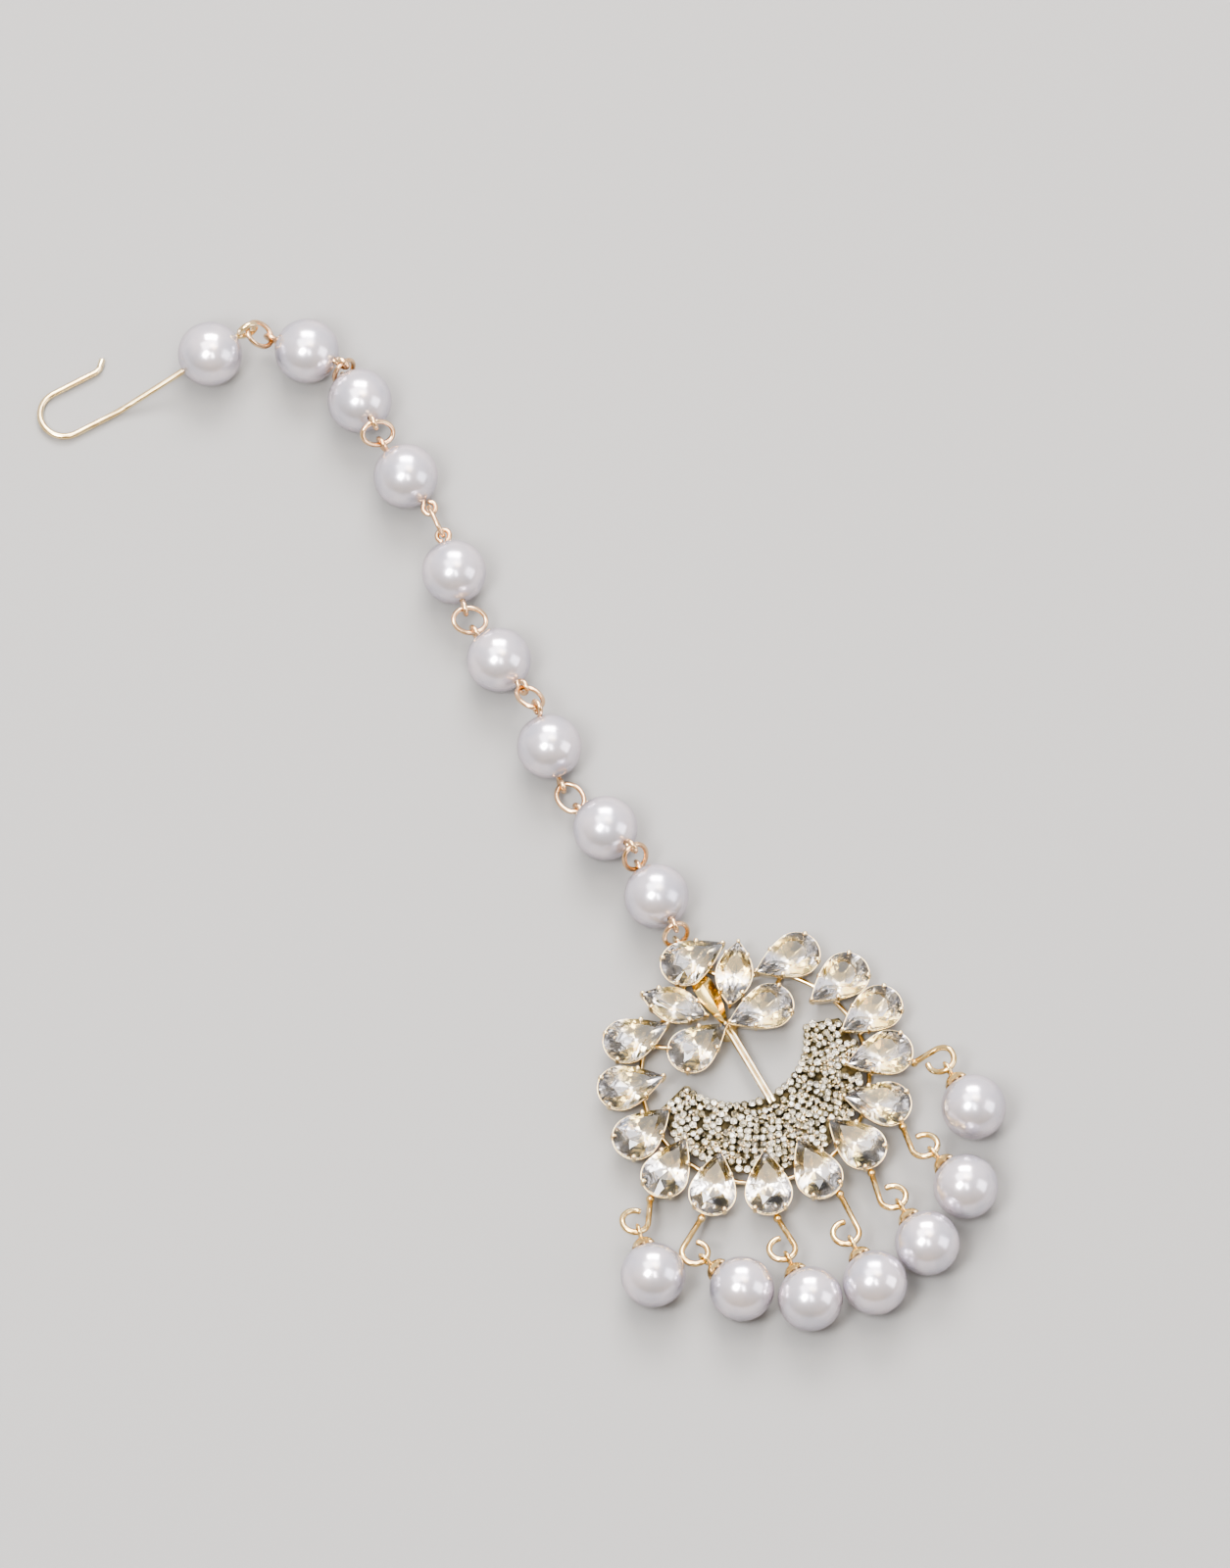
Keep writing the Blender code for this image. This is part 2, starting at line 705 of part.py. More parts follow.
def cap_mesh():
    """A small dome with a scalloped edge, and the post glued into the pearl. Its eye is added."""
    inner = PEARL_R + CAP_PLAY
    outer = inner + CAP_WALL
    edge = radians(CAP_HALF_ANGLE)
    points = []
    rows = []
    sides = 8
    post = POST_D / 2
    profile = (
        (outer, edge * 0.5, 0), (outer, edge, 1), (inner, edge, 1), (inner, asin(post / inner), 0)
    )
    points.append((0, 0, outer))
    for radius, angle, scallop in profile:
        row = []
        for j in range(sides):
            a = 2 * pi * j / sides
            tilt = angle * (1 - CAP_SCALLOP * scallop * (j % 2))
            row.append(len(points))
            points.append((radius * sin(tilt) * cos(a), radius * sin(tilt) * sin(a), radius * cos(tilt)))
        rows.append(row)
    foot = PEARL_R - POST_DEPTH
    rows.append([len(points) + j for j in range(sides)])
    points += [(post * cos(2 * pi * j / sides), post * sin(2 * pi * j / sides), foot) for j in range(sides)]
    faces = [(0, rows[0][j], rows[0][(j + 1) % sides]) for j in range(sides)]
    for low, high in zip(rows, rows[1:]):
        faces += [(low[j], low[(j + 1) % sides], high[(j + 1) % sides], high[j]) for j in range(sides)]
    faces.append(tuple(rows[-1]))
    return mesh_from("cap", points, faces)


def drops(gold, pearl_look):
    pearl_mesh = half_drilled_pearl()
    eye_at = Vector((0, 0, DROP_REACH))
    eye = tube("cap eye", circle_path(eye_at, Vector((0, 1, 0)), CAP_EYE_R), CAP_EYE_WIRE, closed=True)
    foot = CAP_TOP - NECK_OVERLAP
    neck = round_bar("cap neck", CAP_EYE_WIRE, foot, CAP_TOP + CAP_NECK + NECK_OVERLAP / 2, 5)
    cap = cap_mesh()
    tools = bpy.data.collections.new("cap tops")
    bpy.context.scene.collection.children.link(tools)
    for number, lug_at, centre, facing, side in drop_layout():
        turn = frame_of(facing, facing.cross(UP))
        turn = Matrix((turn.col[1], -turn.col[0], turn.col[2])).transposed()
        place(f"drop_pearl_{number}", pearl_mesh, pearl_look, centre, turn)
        tops = bpy.data.collections.new(f"cap top {number}")
        tools.children.link(tops)
        for name, mesh in (("cap eye", eye), ("cap neck", neck)):
            helper = place(f"{name} {number}", mesh, gold, centre, turn, tops)
            helper.hide_render = True
            helper.display_type = "WIRE"
        node = place(f"drop_cap_{number}", cap, gold, centre, turn)
        union = node.modifiers.new("solder", "BOOLEAN")
        union.operation = "UNION"
        union.operand_type = "COLLECTION"
        union.collection = tops


def chain(gold, pearl_look):
    """Pearls on their pins and the rings between them, laid out from the pendant's bail."""
    pearl_mesh = drilled_pearl()
    hold = bail_place()
    before = ROUTE[0][1]
    joints = []
    pins = []
    for number, aim, rise, roll, turn in ROUTE:
        along = heading((before + aim) / 2, rise)
        level_side = along.cross(UP).normalized()
        side = level_side * cos(radians(roll)) + along.cross(level_side) * sin(radians(roll))
        eye = hold + along * ring_span(turn)
        joints.append((number, (hold + eye) / 2, along, side, turn))
        reach = HOOK_REACH if number == 1 else PIN_REACH
        tilt = degrees(asin((PEARL_R - eye.z) / reach))
        pin = heading(aim, tilt)
        centre = eye + pin * reach
        pins.append((number, centre, pin))
        hold = centre + pin * PIN_REACH
        before = aim
    for number, middle, along, side, turn in joints:
        chain_ring(f"chain_ring_{number}", middle, along, side, turn, gold)
    sides = [side for _, _, _, side, _ in joints]
    for i, (number, centre, pin) in enumerate(pins):
        turn = frame_of(pin, UP)
        place(f"chain_pearl_{number}", pearl_mesh, pearl_look, centre, turn)
        if number == 1:
            hair_hook(centre, pin, sides[i], gold)
        else:
            eye_pin(f"eye_pin_{number}", centre, pin, (sides[i], sides[i + 1]), gold)


def main():
    clear_scene()
    gold = material("gold", (0.83, 0.66, 0.38), 0.25, 1.0)
    crystal = material("crystal", (0.93, 0.92, 0.9), 0.03, 0.0, 1.0)
    pearl_look = material("pearl", (0.9, 0.87, 0.87), 0.25, 0.0)
    pendant_frame(gold)
    stones(crystal)
    drops(gold, pearl_look)
    chain(gold, pearl_look)


main()
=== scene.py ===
# %% [markdown]
# # A maang tikka: pearls, cut stones and pale gold
#
# A hook slides into the hair, a chain of pearls runs forward along the parting, and a round pendant
# rests on the forehead. Here it lies on a pale floor. The solid model is loaded first. Each later
# cell makes one kind of piece in full detail, which stands for the plain solid in its place.

# %% Load the solid model
import random
from math import asin, atan2, cos, degrees, pi, radians, sin, sqrt

import bmesh
import bpy
from mathutils import Matrix, Vector


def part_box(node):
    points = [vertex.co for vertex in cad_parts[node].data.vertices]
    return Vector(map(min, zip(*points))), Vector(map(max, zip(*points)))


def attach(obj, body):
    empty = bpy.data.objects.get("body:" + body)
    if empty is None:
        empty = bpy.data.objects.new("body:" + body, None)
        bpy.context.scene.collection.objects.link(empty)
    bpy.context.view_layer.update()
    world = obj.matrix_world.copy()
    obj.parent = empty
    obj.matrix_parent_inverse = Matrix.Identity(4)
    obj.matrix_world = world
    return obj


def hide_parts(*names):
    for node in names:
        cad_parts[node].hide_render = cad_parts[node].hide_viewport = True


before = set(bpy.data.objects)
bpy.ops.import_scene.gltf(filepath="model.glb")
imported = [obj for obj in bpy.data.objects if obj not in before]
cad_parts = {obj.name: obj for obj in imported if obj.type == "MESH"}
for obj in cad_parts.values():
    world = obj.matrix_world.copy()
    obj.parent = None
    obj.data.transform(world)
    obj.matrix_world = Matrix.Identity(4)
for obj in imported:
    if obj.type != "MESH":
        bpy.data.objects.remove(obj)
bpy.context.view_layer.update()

MM = 0.001
UP = Vector((0, 0, 1))


def shown(name, data):
    """A new object in the scene."""
    thing = bpy.data.objects.new(name, data)
    bpy.context.scene.collection.objects.link(thing)
    return thing


print("solid nodes:", len(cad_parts))

# %% [markdown]
# ## Camera
#
# The photograph was taken from high above with a long lens. A camera four metres off with a narrow
# view looks the same. Two angles give its place.

# %% The camera
VIEW_HEIGHT = 68.0  # degrees above the floor
VIEW_TURN = -29.0  # degrees round the upright axis
FRAME_HEIGHT = 193.1 * MM
CAMERA_DISTANCE = 4.0
SENSOR = 36.0
view_centre = Vector((3.84, 35.46, 0)) * MM

away = Vector((-sin(radians(VIEW_TURN)), cos(radians(VIEW_TURN)), 0))
to_camera = UP * sin(radians(VIEW_HEIGHT)) - away * cos(radians(VIEW_HEIGHT))
picture_right = away.cross(UP)
picture_up = picture_right.cross(-to_camera).normalized()

lens = bpy.data.cameras.new("long lens")
lens.sensor_width = SENSOR
lens.lens = SENSOR * CAMERA_DISTANCE / FRAME_HEIGHT
lens.clip_start = 0.01
camera = shown("camera", lens)
camera.location = view_centre + to_camera * CAMERA_DISTANCE
camera.rotation_euler = to_camera.to_track_quat("Z", "Y").to_euler()
bpy.context.scene.camera = camera
print("focal length in mm:", round(lens.lens, 1))

# %% [markdown]
# ## Shared surface effects
#
# Handled metal and pearl are never quite even: the polish is softer here and there, and the surface
# ripples faintly. Each finish uses this with its own values, so it is a node group. A second group
# drifts between two colours. A third paints reflections into the colour of the foil under the
# stones, by each corner's place in its stone, kept as UV: a painted warm reflection on the far
# side, with a small painted dark reflection on the near side.

# %% Helpers for nodes
def added(tree, kind, links, values, **settings):
    """A new node with these links into it and these values on its sockets."""
    node = tree.nodes.new(kind)
    for name, value in settings.items():
        setattr(node, name, value)
    for socket, source in links.items():
        tree.links.new(source, node.inputs[socket])
    for socket, value in values.items():
        node.inputs[socket].default_value = value
    return node


def new_group(name, inputs, outputs):
    """A node group with these inputs, each with its value, and these outputs."""
    group = bpy.data.node_groups.new(name, "ShaderNodeTree")
    for label, value in inputs.items():
        kind = "NodeSocketColor" if isinstance(value, tuple) else "NodeSocketFloat"
        group.interface.new_socket(label, in_out="INPUT", socket_type=kind).default_value = value
    for label, kind in outputs.items():
        group.interface.new_socket(label, in_out="OUTPUT", socket_type=kind)
    start = group.nodes.new("NodeGroupInput")
    end = group.nodes.new("NodeGroupOutput")
    return group, start.outputs, end.inputs


def object_noise(tree, scale, detail):
    """Noise on Object coordinates. The scale comes from a socket of the group."""
    where = tree.nodes.new("ShaderNodeTexCoord").outputs["Object"]
    links = {"Vector": where, "Scale": scale}
    return added(tree, "ShaderNodeTexNoise", links, {"Detail": detail}).outputs["Fac"]


def blended(tree, share, first, second):
    """A mix of two colour sockets."""
    links = {"Factor": share, "A": first, "B": second}
    return added(tree, "ShaderNodeMix", links, {}, data_type="RGBA").outputs["Result"]


# %% Node group for uneven polish
polish, given, wanted = new_group(
    "uneven polish",
    {"Scale": 400.0, "Smoothest": 0.1, "Roughest": 0.3},
    {"Roughness": "NodeSocketFloat", "Ripple": "NodeSocketFloat"},
)
noise = object_noise(polish, given["Scale"], 4.0)
spread = added(
    polish, "ShaderNodeMapRange",
    {"Value": noise, "To Min": given["Smoothest"], "To Max": given["Roughest"]},
    {"From Min": 0.3, "From Max": 0.7},
)
polish.links.new(spread.outputs["Result"], wanted["Roughness"])
polish.links.new(noise, wanted["Ripple"])
print("group:", polish.name)

# %% Node group for drifting colour
drift, given, wanted = new_group(
    "drifting colour",
    {"Scale": 150.0, "First": (1, 1, 1, 1), "Second": (0.5, 0.5, 0.5, 1)},
    {"Colour": "NodeSocketColor"},
)
noise = object_noise(drift, given["Scale"], 2.0)
share = added(
    drift, "ShaderNodeMapRange", {"Value": noise}, {"From Min": 0.35, "From Max": 0.65}
)
both = blended(drift, share.outputs["Result"], given["First"], given["Second"])
drift.links.new(both, wanted["Colour"])
print("group:", drift.name)

# %% Node group for the reflections painted on the stones' foil
painted_foil_reflections, given, wanted = new_group(
    "foil with painted reflections",
    {
        "Pale": (1.0, 0.99, 1.0, 1), "Painted warm reflection": (0.66, 0.50, 0.17, 1),
        "Painted dark reflection": (0.05, 0.07, 0.11, 1),
    },
    {"Colour": "NodeSocketColor"},
)


def soft_spot(centre, stretch, strength):
    """A spot on the UV, from its strength in the middle to 0 past its edge."""
    place = painted_foil_reflections.nodes.new("ShaderNodeTexCoord").outputs["UV"]
    for operation, by in (("SUBTRACT", centre), ("MULTIPLY", stretch)):
        place = added(
            painted_foil_reflections, "ShaderNodeVectorMath", {0: place}, {1: (*by, 0)}, operation=operation
        ).outputs["Vector"]
    away = added(painted_foil_reflections, "ShaderNodeVectorMath", {0: place}, {}, operation="LENGTH")
    return added(
        painted_foil_reflections, "ShaderNodeMapRange", {"Value": away.outputs["Value"]},
        {"From Min": 0.45, "From Max": 1.1, "To Min": strength, "To Max": 0.0},
        interpolation_type="SMOOTHSTEP",
    ).outputs["Result"]


# Painted reflections on the foil: a warm one on the far side and a small dark one on the near side.
painted_warm_reflection = soft_spot((0.02, 0.27), (2.2, 3.3), 0.95)
painted_dark_reflection = soft_spot((0.12, -0.36), (4.6, 6.0), 0.9)
with_warm_reflection = blended(painted_foil_reflections, painted_warm_reflection, given["Pale"], given["Painted warm reflection"])
painted_foil_reflections.links.new(blended(painted_foil_reflections, painted_dark_reflection, with_warm_reflection, given["Painted dark reflection"]), wanted["Colour"])
print("group:", painted_foil_reflections.name)

# %% [markdown]
# ## Finishes
#
# The metal is brass with a pale gold plate. The chain's wire is rosier, the open hooks and the caps
# are warmer, the leaf is yellower and the stick paler. Between the small stones the plate's top is
# near black, painted shade, and the collets are olive. The pearls are near white with faint pink
# and lavender, under a clear coat. The stones are clear glass, and a foil of silver on their lower
# faces throws the light back out; its colour holds painted reflections, warm on the far side and
# dark on the near side.

# %% A finish from the shared groups
def plain_look(name, **sockets):
    """A material with these values on its surface."""
    made = bpy.data.materials.new(name)
    made.use_nodes = True
    surface = made.node_tree.nodes["Principled BSDF"]
    for socket, value in sockets.items():
        surface.inputs[socket.replace("_", " ")].default_value = value
    return made


def finish(name, polish_scale, rough, ripple, **sockets):
    """A material whose polish is uneven, with the rest set plainly."""
    made = plain_look(name, **sockets)
    tree = made.node_tree
    surface = tree.nodes["Principled BSDF"]
    values = {"Scale": polish_scale, "Smoothest": rough[0], "Roughest": rough[1]}
    sheen = added(tree, "ShaderNodeGroup", {}, values, node_tree=polish).outputs
    values = {"Strength": ripple, "Distance": 0.05 * MM}
    dent = added(tree, "ShaderNodeBump", {"Height": sheen["Ripple"]}, values)
    tree.links.new(sheen["Roughness"], surface.inputs["Roughness"])
    tree.links.new(dent.outputs["Normal"], surface.inputs["Normal"])
    return made


def coloured(made, group, **values):
    """Gives a material its colour from a group. Returns the material."""
    tree = made.node_tree
    colour = added(tree, "ShaderNodeGroup", {}, values, node_tree=group).outputs["Colour"]
    tree.links.new(colour, tree.nodes["Principled BSDF"].inputs["Base Color"])
    return made


def drifting(made, scale, first, second):
    return coloured(made, drift, Scale=scale, First=(*first, 1), Second=(*second, 1))


def plate(name, bright, dull, scale, polish_scale, rough, ripple):
    metal = finish(name, polish_scale, rough, ripple, Metallic=1.0)
    return drifting(metal, scale, bright, dull)


gold, bright_gold, rose_gold, warm_gold, champagne, painted_shade_plate, olive_gold = (
    plate(*row) for row in (
        # name, bright, dull, colour scale, polish scale, roughness, ripple
        ("pale gold plate", (0.92, 0.77, 0.49), (0.76, 0.58, 0.32), 600, 700, (0.1, 0.24), 0.25),
        ("yellow gold plate", (0.88, 0.71, 0.35), (0.64, 0.48, 0.19), 500, 500, (0.08, 0.2), 0.3),
        ("rosy gold wire", (0.84, 0.61, 0.38), (0.70, 0.46, 0.27), 500, 700, (0.12, 0.28), 0.3),
        ("warm gold wire", (0.88, 0.69, 0.37), (0.62, 0.42, 0.17), 700, 700, (0.1, 0.24), 0.3),
        ("champagne plate", (0.90, 0.82, 0.63), (0.74, 0.62, 0.42), 500, 500, (0.08, 0.2), 0.3),
        # painted shade: the near-black top of the crescent's plate between the crystals
        ("plate top painted as shade", (0.09, 0.07, 0.035), (0.02, 0.018, 0.012), 900, 900, (0.35, 0.6), 0.6),
        ("olive plate", (0.44, 0.37, 0.21), (0.08, 0.065, 0.035), 1400, 900, (0.15, 0.4), 0.5),
    )
)
pearl = finish(
    "pearl lustre", 260, (0.18, 0.27), 0.08, Metallic=0.7, Specular_Tint=(0.42, 0.36, 0.42, 1),
    Coat_Weight=0.8, Coat_Roughness=0.07, Coat_IOR=1.4,
)
drifting(pearl, 260, (0.72, 0.66, 0.69), (0.54, 0.53, 0.59))
# The foil's colour holds painted reflections, warm on the far side and dark on the near side.
foil = coloured(finish("silver foil with painted reflections", 900, (0.04, 0.12), 0.3, Metallic=0.95), painted_foil_reflections)
pave_foil = finish("foil of the small stones", 900, (0.05, 0.2), 0.3, Metallic=0.9)
drifting(pave_foil, 1300, (1.0, 0.99, 0.95), (0.30, 0.26, 0.17))
clear = plain_look(
    "clear stone", Base_Color=(0.99, 0.985, 0.98, 1), Roughness=0.0, IOR=1.55,
    Transmission_Weight=1.0,
)
print("finishes:", [m.name for m in bpy.data.materials])

# %% [markdown]
# ## Helpers for wire and for finished pieces
#
# Nearly all the metal is wire: a circle extruded along its path and turned at each bend. A closed
# ring joins its last circle to its first, and a cut end is domed.

# %% Finish a piece
def finished(name, work, looks, stands_for=(), sharp=35):
    """Turns a bmesh into a piece on the body, its faces outwards and its sharp edges kept."""
    bmesh.ops.recalc_face_normals(work, faces=work.faces)
    mesh = bpy.data.meshes.new(name)
    work.to_mesh(mesh)
    work.free()
    mesh.shade_smooth()
    mesh.set_sharp_from_angle(angle=radians(sharp))
    for look in looks:
        mesh.materials.append(look)
    piece = shown(name, mesh)
    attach(piece, "root")
    if stands_for:
        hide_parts(*stands_for)
    return piece


def frame_piece(name, work, looks=(), sharp=35):
    """A finished piece of the soldered frame, in the usual gold unless told otherwise."""
    return finished(name, work, looks or [gold], ["pendant_frame"], sharp)


def heading(angle, rise=0.0):
    """The unit vector at this angle from +X and this rise from level, in degrees."""
    flat = cos(radians(rise))
    return Vector((flat * cos(radians(angle)), flat * sin(radians(angle)), sin(radians(rise))))


# %% Extrude rings of edges
def ring_edges(ring):
    """The edges between these vertices, each once, in an order that is the same each run."""
    return list(dict.fromkeys(edge for vert in ring for edge in vert.link_edges))


def grown_ring(work, edges):
    """Extrudes a ring of edges. Returns the new ring's vertices and its edges."""
    grown = bmesh.ops.extrude_edge_only(work, edges=edges)["geom"]
    ring = [item for item in grown if isinstance(item, bmesh.types.BMVert)]
    return ring, [
        item for item in grown
        if isinstance(item, bmesh.types.BMEdge) and all(v in ring for v in item.verts)
    ]


# %% Draw a wire along a path
def draw_wire(work, path, wire_d, sides=12, closed=False):
    """A round wire through these points in millimetres, in metres in the bmesh."""
    spots = [point * MM for point in path]
    radius = wire_d / 2 * MM
    shares = [1.0] * len(spots)
    if not closed:
        first = (spots[0] - spots[1]).normalized() * radius
        last = (spots[-1] - spots[-2]).normalized() * radius
        spots = [spots[0] + first * 0.5, spots[0] + first * 0.3] + spots
        spots += [spots[-1] + last * 0.3, spots[-1] + last * 0.5]
        shares = [0.45, 0.85] + shares + [0.85, 0.45]
    count = len(spots)
    ways = []
    for i in range(count):
        before = spots[i - 1] if closed or i else spots[0]
        after = spots[(i + 1) % count] if closed or i < count - 1 else spots[-1]
        ways.append((after - before).normalized())
    facing = ways[0].to_track_quat("Z", "Y").to_matrix().to_4x4()
    start = Matrix.Translation(spots[0]) @ facing
    ring = bmesh.ops.create_circle(
        work, segments=sides, radius=radius * shares[0], matrix=start
    )["verts"]
    first_edges = ring_edges(ring)
    edges = first_edges
    for i in range(1, count):
        ring, edges = grown_ring(work, edges)
        turn = ways[i - 1].rotation_difference(ways[i]).to_matrix()
        bmesh.ops.rotate(work, verts=ring, cent=spots[i - 1], matrix=turn)
        bmesh.ops.translate(work, verts=ring, vec=spots[i] - spots[i - 1])
        size = shares[i] / shares[i - 1]
        if size != 1.0:
            about = Matrix.Translation(-spots[i])
            bmesh.ops.scale(work, verts=ring, vec=(size, size, size), space=about)
    if closed:
        bmesh.ops.bridge_loops(work, edges=first_edges + edges)
    else:
        bmesh.ops.edgeloop_fill(work, edges=first_edges)
        bmesh.ops.edgeloop_fill(work, edges=edges)


def rounded(path):
    """The path with its corners cut, so that the wire bends smoothly."""
    softer = [path[0]]
    for a, b in zip(path, path[1:]):
        softer += [a.lerp(b, 0.25), a.lerp(b, 0.75)]
    return softer + [path[-1]]


def round_path(centre, one, other, steps=24):
    """Points round an oval with these two half axes."""
    angles = [2 * pi * i / steps for i in range(steps)]
    return [centre + one * cos(a) + other * sin(a) for a in angles]


# %% [markdown]
# ## The chain's route
#
# Each pearl rests on the floor, and between two pearls an oval ring holds the eyes of two pins. The
# solid model's angles lay it out: how each pin heads, how steeply the ring below it rises and how
# far the ring is rolled or turned.

# %% Lay out pearls and rings
PEARL_D = 8.0
PEARL_R = PEARL_D / 2
PIN_WIRE = 0.62
EYE_R = 0.8
EYE_OUTER_R = 1.05  # of the solid model's thinner wire
EYE_NECK = 0.05
PIN_REACH = PEARL_R + EYE_NECK + EYE_OUTER_R
HOOK_WIRE = 0.8
HOOK_EYE_R = 1.05
HOOK_REACH = PEARL_R + EYE_NECK + HOOK_EYE_R + HOOK_WIRE / 2
RING_WIRE = 0.62
RING_A = 2.05
RING_B = 1.55
BAIL_WIRE = 0.6
BAIL_R = 0.9
BAIL_PLACE = Vector((0, 12.545, 1.6))

ROUTE = (
    # pearl, heading, rise, roll, turn
    (9, 87, 73, 0, 0),
    (8, 105.5, 66.5, 0, 0),
    (7, 81, -5, 0, 0),
    (6, 97, -23, 25, 0),
    (5, 76, 22, 0, 60),
    (4, 96, 0, 80, 0),
    (3, 84.5, 48, 0, 60),
    (2, 124, 81, 0, 0),
    (1, 180, 44, 0, 0),
)


def chain_layout():
    """Each ring as (number, middle, long way, side, turn), each pin as (number, centre, way)."""
    hold = BAIL_PLACE
    before = ROUTE[0][1]
    rings = []
    pins = []
    for number, aim, rise, roll, turn in ROUTE:
        along = heading((before + aim) / 2, rise)
        level = along.cross(UP).normalized()
        side = level * cos(radians(roll)) + along.cross(level) * sin(radians(roll))
        spin = radians(turn)
        span = 2 / sqrt((cos(spin) / RING_A) ** 2 + (sin(spin) / RING_B) ** 2)
        eye = hold + along * span
        rings.append((number, (hold + eye) / 2, along, side, spin))
        reach = HOOK_REACH if number == 1 else PIN_REACH
        tilt = degrees(asin((PEARL_R - eye.z) / reach))
        way = heading(aim, tilt)
        centre = eye + way * reach
        pins.append((number, centre, way))
        hold = centre + way * PIN_REACH
        before = aim
    return rings, pins


rings, pins = chain_layout()
print("pearl 9 in mm:", [round(x, 2) for x in pins[0][1]])


# %% [markdown]
# ## Pearls
#
# A pearl on a wire is drilled right through, and its bore has a softly rounded mouth. The two poles
# of a globe are deleted, which leaves two round holes, and these are bridged into a bore. A drop
# pearl is drilled from one side only.

# %% Drill a pearl
GLOBE_SIDES = 48
GLOBE_RINGS = 32
BORE_R = 0.5


def drilled_globe(centre, way, through):
    work = bmesh.new()
    bmesh.ops.create_uvsphere(
        work, u_segments=GLOBE_SIDES, v_segments=GLOBE_RINGS, radius=PEARL_R * MM
    )
    ends = [1, -1] if through else [1]
    poles = [v for v in work.verts if abs(v.co.z) > PEARL_R * MM * 0.9999]
    poles = [pole for pole in poles if through or pole.co.z > 0]
    bmesh.ops.delete(work, geom=poles, context="VERTS")
    mouths = [edge for edge in work.edges if edge.is_boundary]
    for end in ends:
        loop = [edge for edge in mouths if edge.verts[0].co.z * end > 0]
        for inward, share in ((0.08, 0.97), (0.3, 0.93)):
            ring, loop = grown_ring(work, loop)
            radius = max((v.co.xy.length for v in ring))
            size = BORE_R * MM * share / radius if share < 1 else 1
            bmesh.ops.scale(work, verts=ring, vec=(size, size, 1))
            bmesh.ops.translate(work, verts=ring, vec=(0, 0, -end * inward * MM))
        if not through:
            bmesh.ops.edgeloop_fill(work, edges=loop)
        elif end == 1:
            upper = loop
    if through:
        bmesh.ops.bridge_loops(work, edges=upper + loop)
    turn = way.to_track_quat("Z", "Y").to_matrix().to_4x4()
    bmesh.ops.transform(work, verts=work.verts, matrix=Matrix.Translation(centre * MM) @ turn)
    return work


for number, centre, way in pins:
    finished(
        f"pearl_on_chain_{number}", drilled_globe(centre, way, True), [pearl],
        [f"chain_pearl_{number}"],
    )
print("chain pearls:", len(pins))

# %% [markdown]
# ## Pins and rings of the chain
#
# Each pin is one wire, straight through the pearl and bent round at both ends into an eye that
# stops just short of it. The rings between them are ovals.

# %% Bend the pins
EYE_OPENING = 28
EYE_STEPS = 18


def eye_path(centre, along, normal, radius):
    """Round an eye from the wire that comes in along this way."""
    across = normal.cross(along)
    sweep = 360 - 2 * EYE_OPENING
    path = []
    for i in range(EYE_STEPS + 1):
        angle = radians(EYE_OPENING + sweep * i / EYE_STEPS)
        path.append(centre - along * radius * cos(angle) + across * radius * sin(angle))
    return path


def square_to(normal, along):
    return (normal - along * normal.dot(along)).normalized()


sides = [side for _, _, _, side, _ in rings]
for i, (number, centre, way) in enumerate(pins):
    if number == 1:
        continue
    lower = centre - way * PIN_REACH
    upper = centre + way * PIN_REACH
    stub = EYE_R + PIN_WIRE / 2
    first = eye_path(lower, -way, square_to(sides[i], way), EYE_R)
    second = eye_path(upper, way, square_to(sides[i + 1], way), EYE_R)
    path = first[::-1] + [lower + way * stub, upper - way * stub] + second
    work = bmesh.new()
    draw_wire(work, path, PIN_WIRE)
    finished(f"pin_with_eyes_{number}", work, [rose_gold], [f"eye_pin_{number}"])
print("pins:", len(pins) - 1)

# %% Bend the rings
RING_STEPS = 32
for number, middle, along, side, spin in rings:
    long_way = along * cos(spin) - side * sin(spin)
    short_way = along * sin(spin) + side * cos(spin)
    path = round_path(middle, long_way * RING_A, short_way * RING_B, RING_STEPS)
    work = bmesh.new()
    draw_wire(work, path, RING_WIRE, closed=True)
    finished(f"oval_ring_{number}", work, [rose_gold], [f"chain_ring_{number}"])
print("rings:", len(rings))

# %% [markdown]
# ## Hair hook
#
# The hook is thicker wire: an eye for the last ring, a shank through the last pearl, and a flat U
# on the floor with its tip bent outwards.

# %% Bend the hook
HOOK_GAP = 5.2
HOOK_LEG = 6.0
HOOK_RETURN = 6.5
HOOK_TIP = 1.5
BEND_STEPS = 16

_, centre, way = pins[-1]
eye_centre = centre - way * HOOK_REACH
path = eye_path(eye_centre, -way, square_to(sides[-1], way), HOOK_EYE_R)[::-1]
path.append(eye_centre + way * (HOOK_EYE_R + HOOK_WIRE / 2))
landing = centre + way * ((centre.z - HOOK_WIRE / 2) / -way.z)
flat = Vector((way.x, way.y, 0)).normalized()
side = flat.cross(UP)
bend = landing + flat * HOOK_LEG
radius = (HOOK_GAP + HOOK_WIRE) / 2
path += [landing - way * 0.6, landing + flat * 0.6]
for i in range(BEND_STEPS + 1):
    angle = pi * i / BEND_STEPS
    path.append(bend + flat * radius * sin(angle) + side * radius * (1 - cos(angle)))
path.append(path[-1] - flat * (HOOK_RETURN - 0.4))
outward = (side - flat).normalized()
path.append(path[-1] - flat * 0.4 + outward * 0.3)
path.append(path[-1] + outward * (HOOK_TIP - 0.3))
work = bmesh.new()
draw_wire(work, path, HOOK_WIRE, sides=14)
finished("hook_for_the_hair", work, [gold], ["hair_hook"])
print("hook's landing in mm:", [round(x, 2) for x in landing])

# %% [markdown]
# ## Where the stones sit
#
# Thirteen pear-cut stones stand round a ring, round ends outwards. One more lies crosswise at the
# top, and two pears and two marquises make the flower inside.

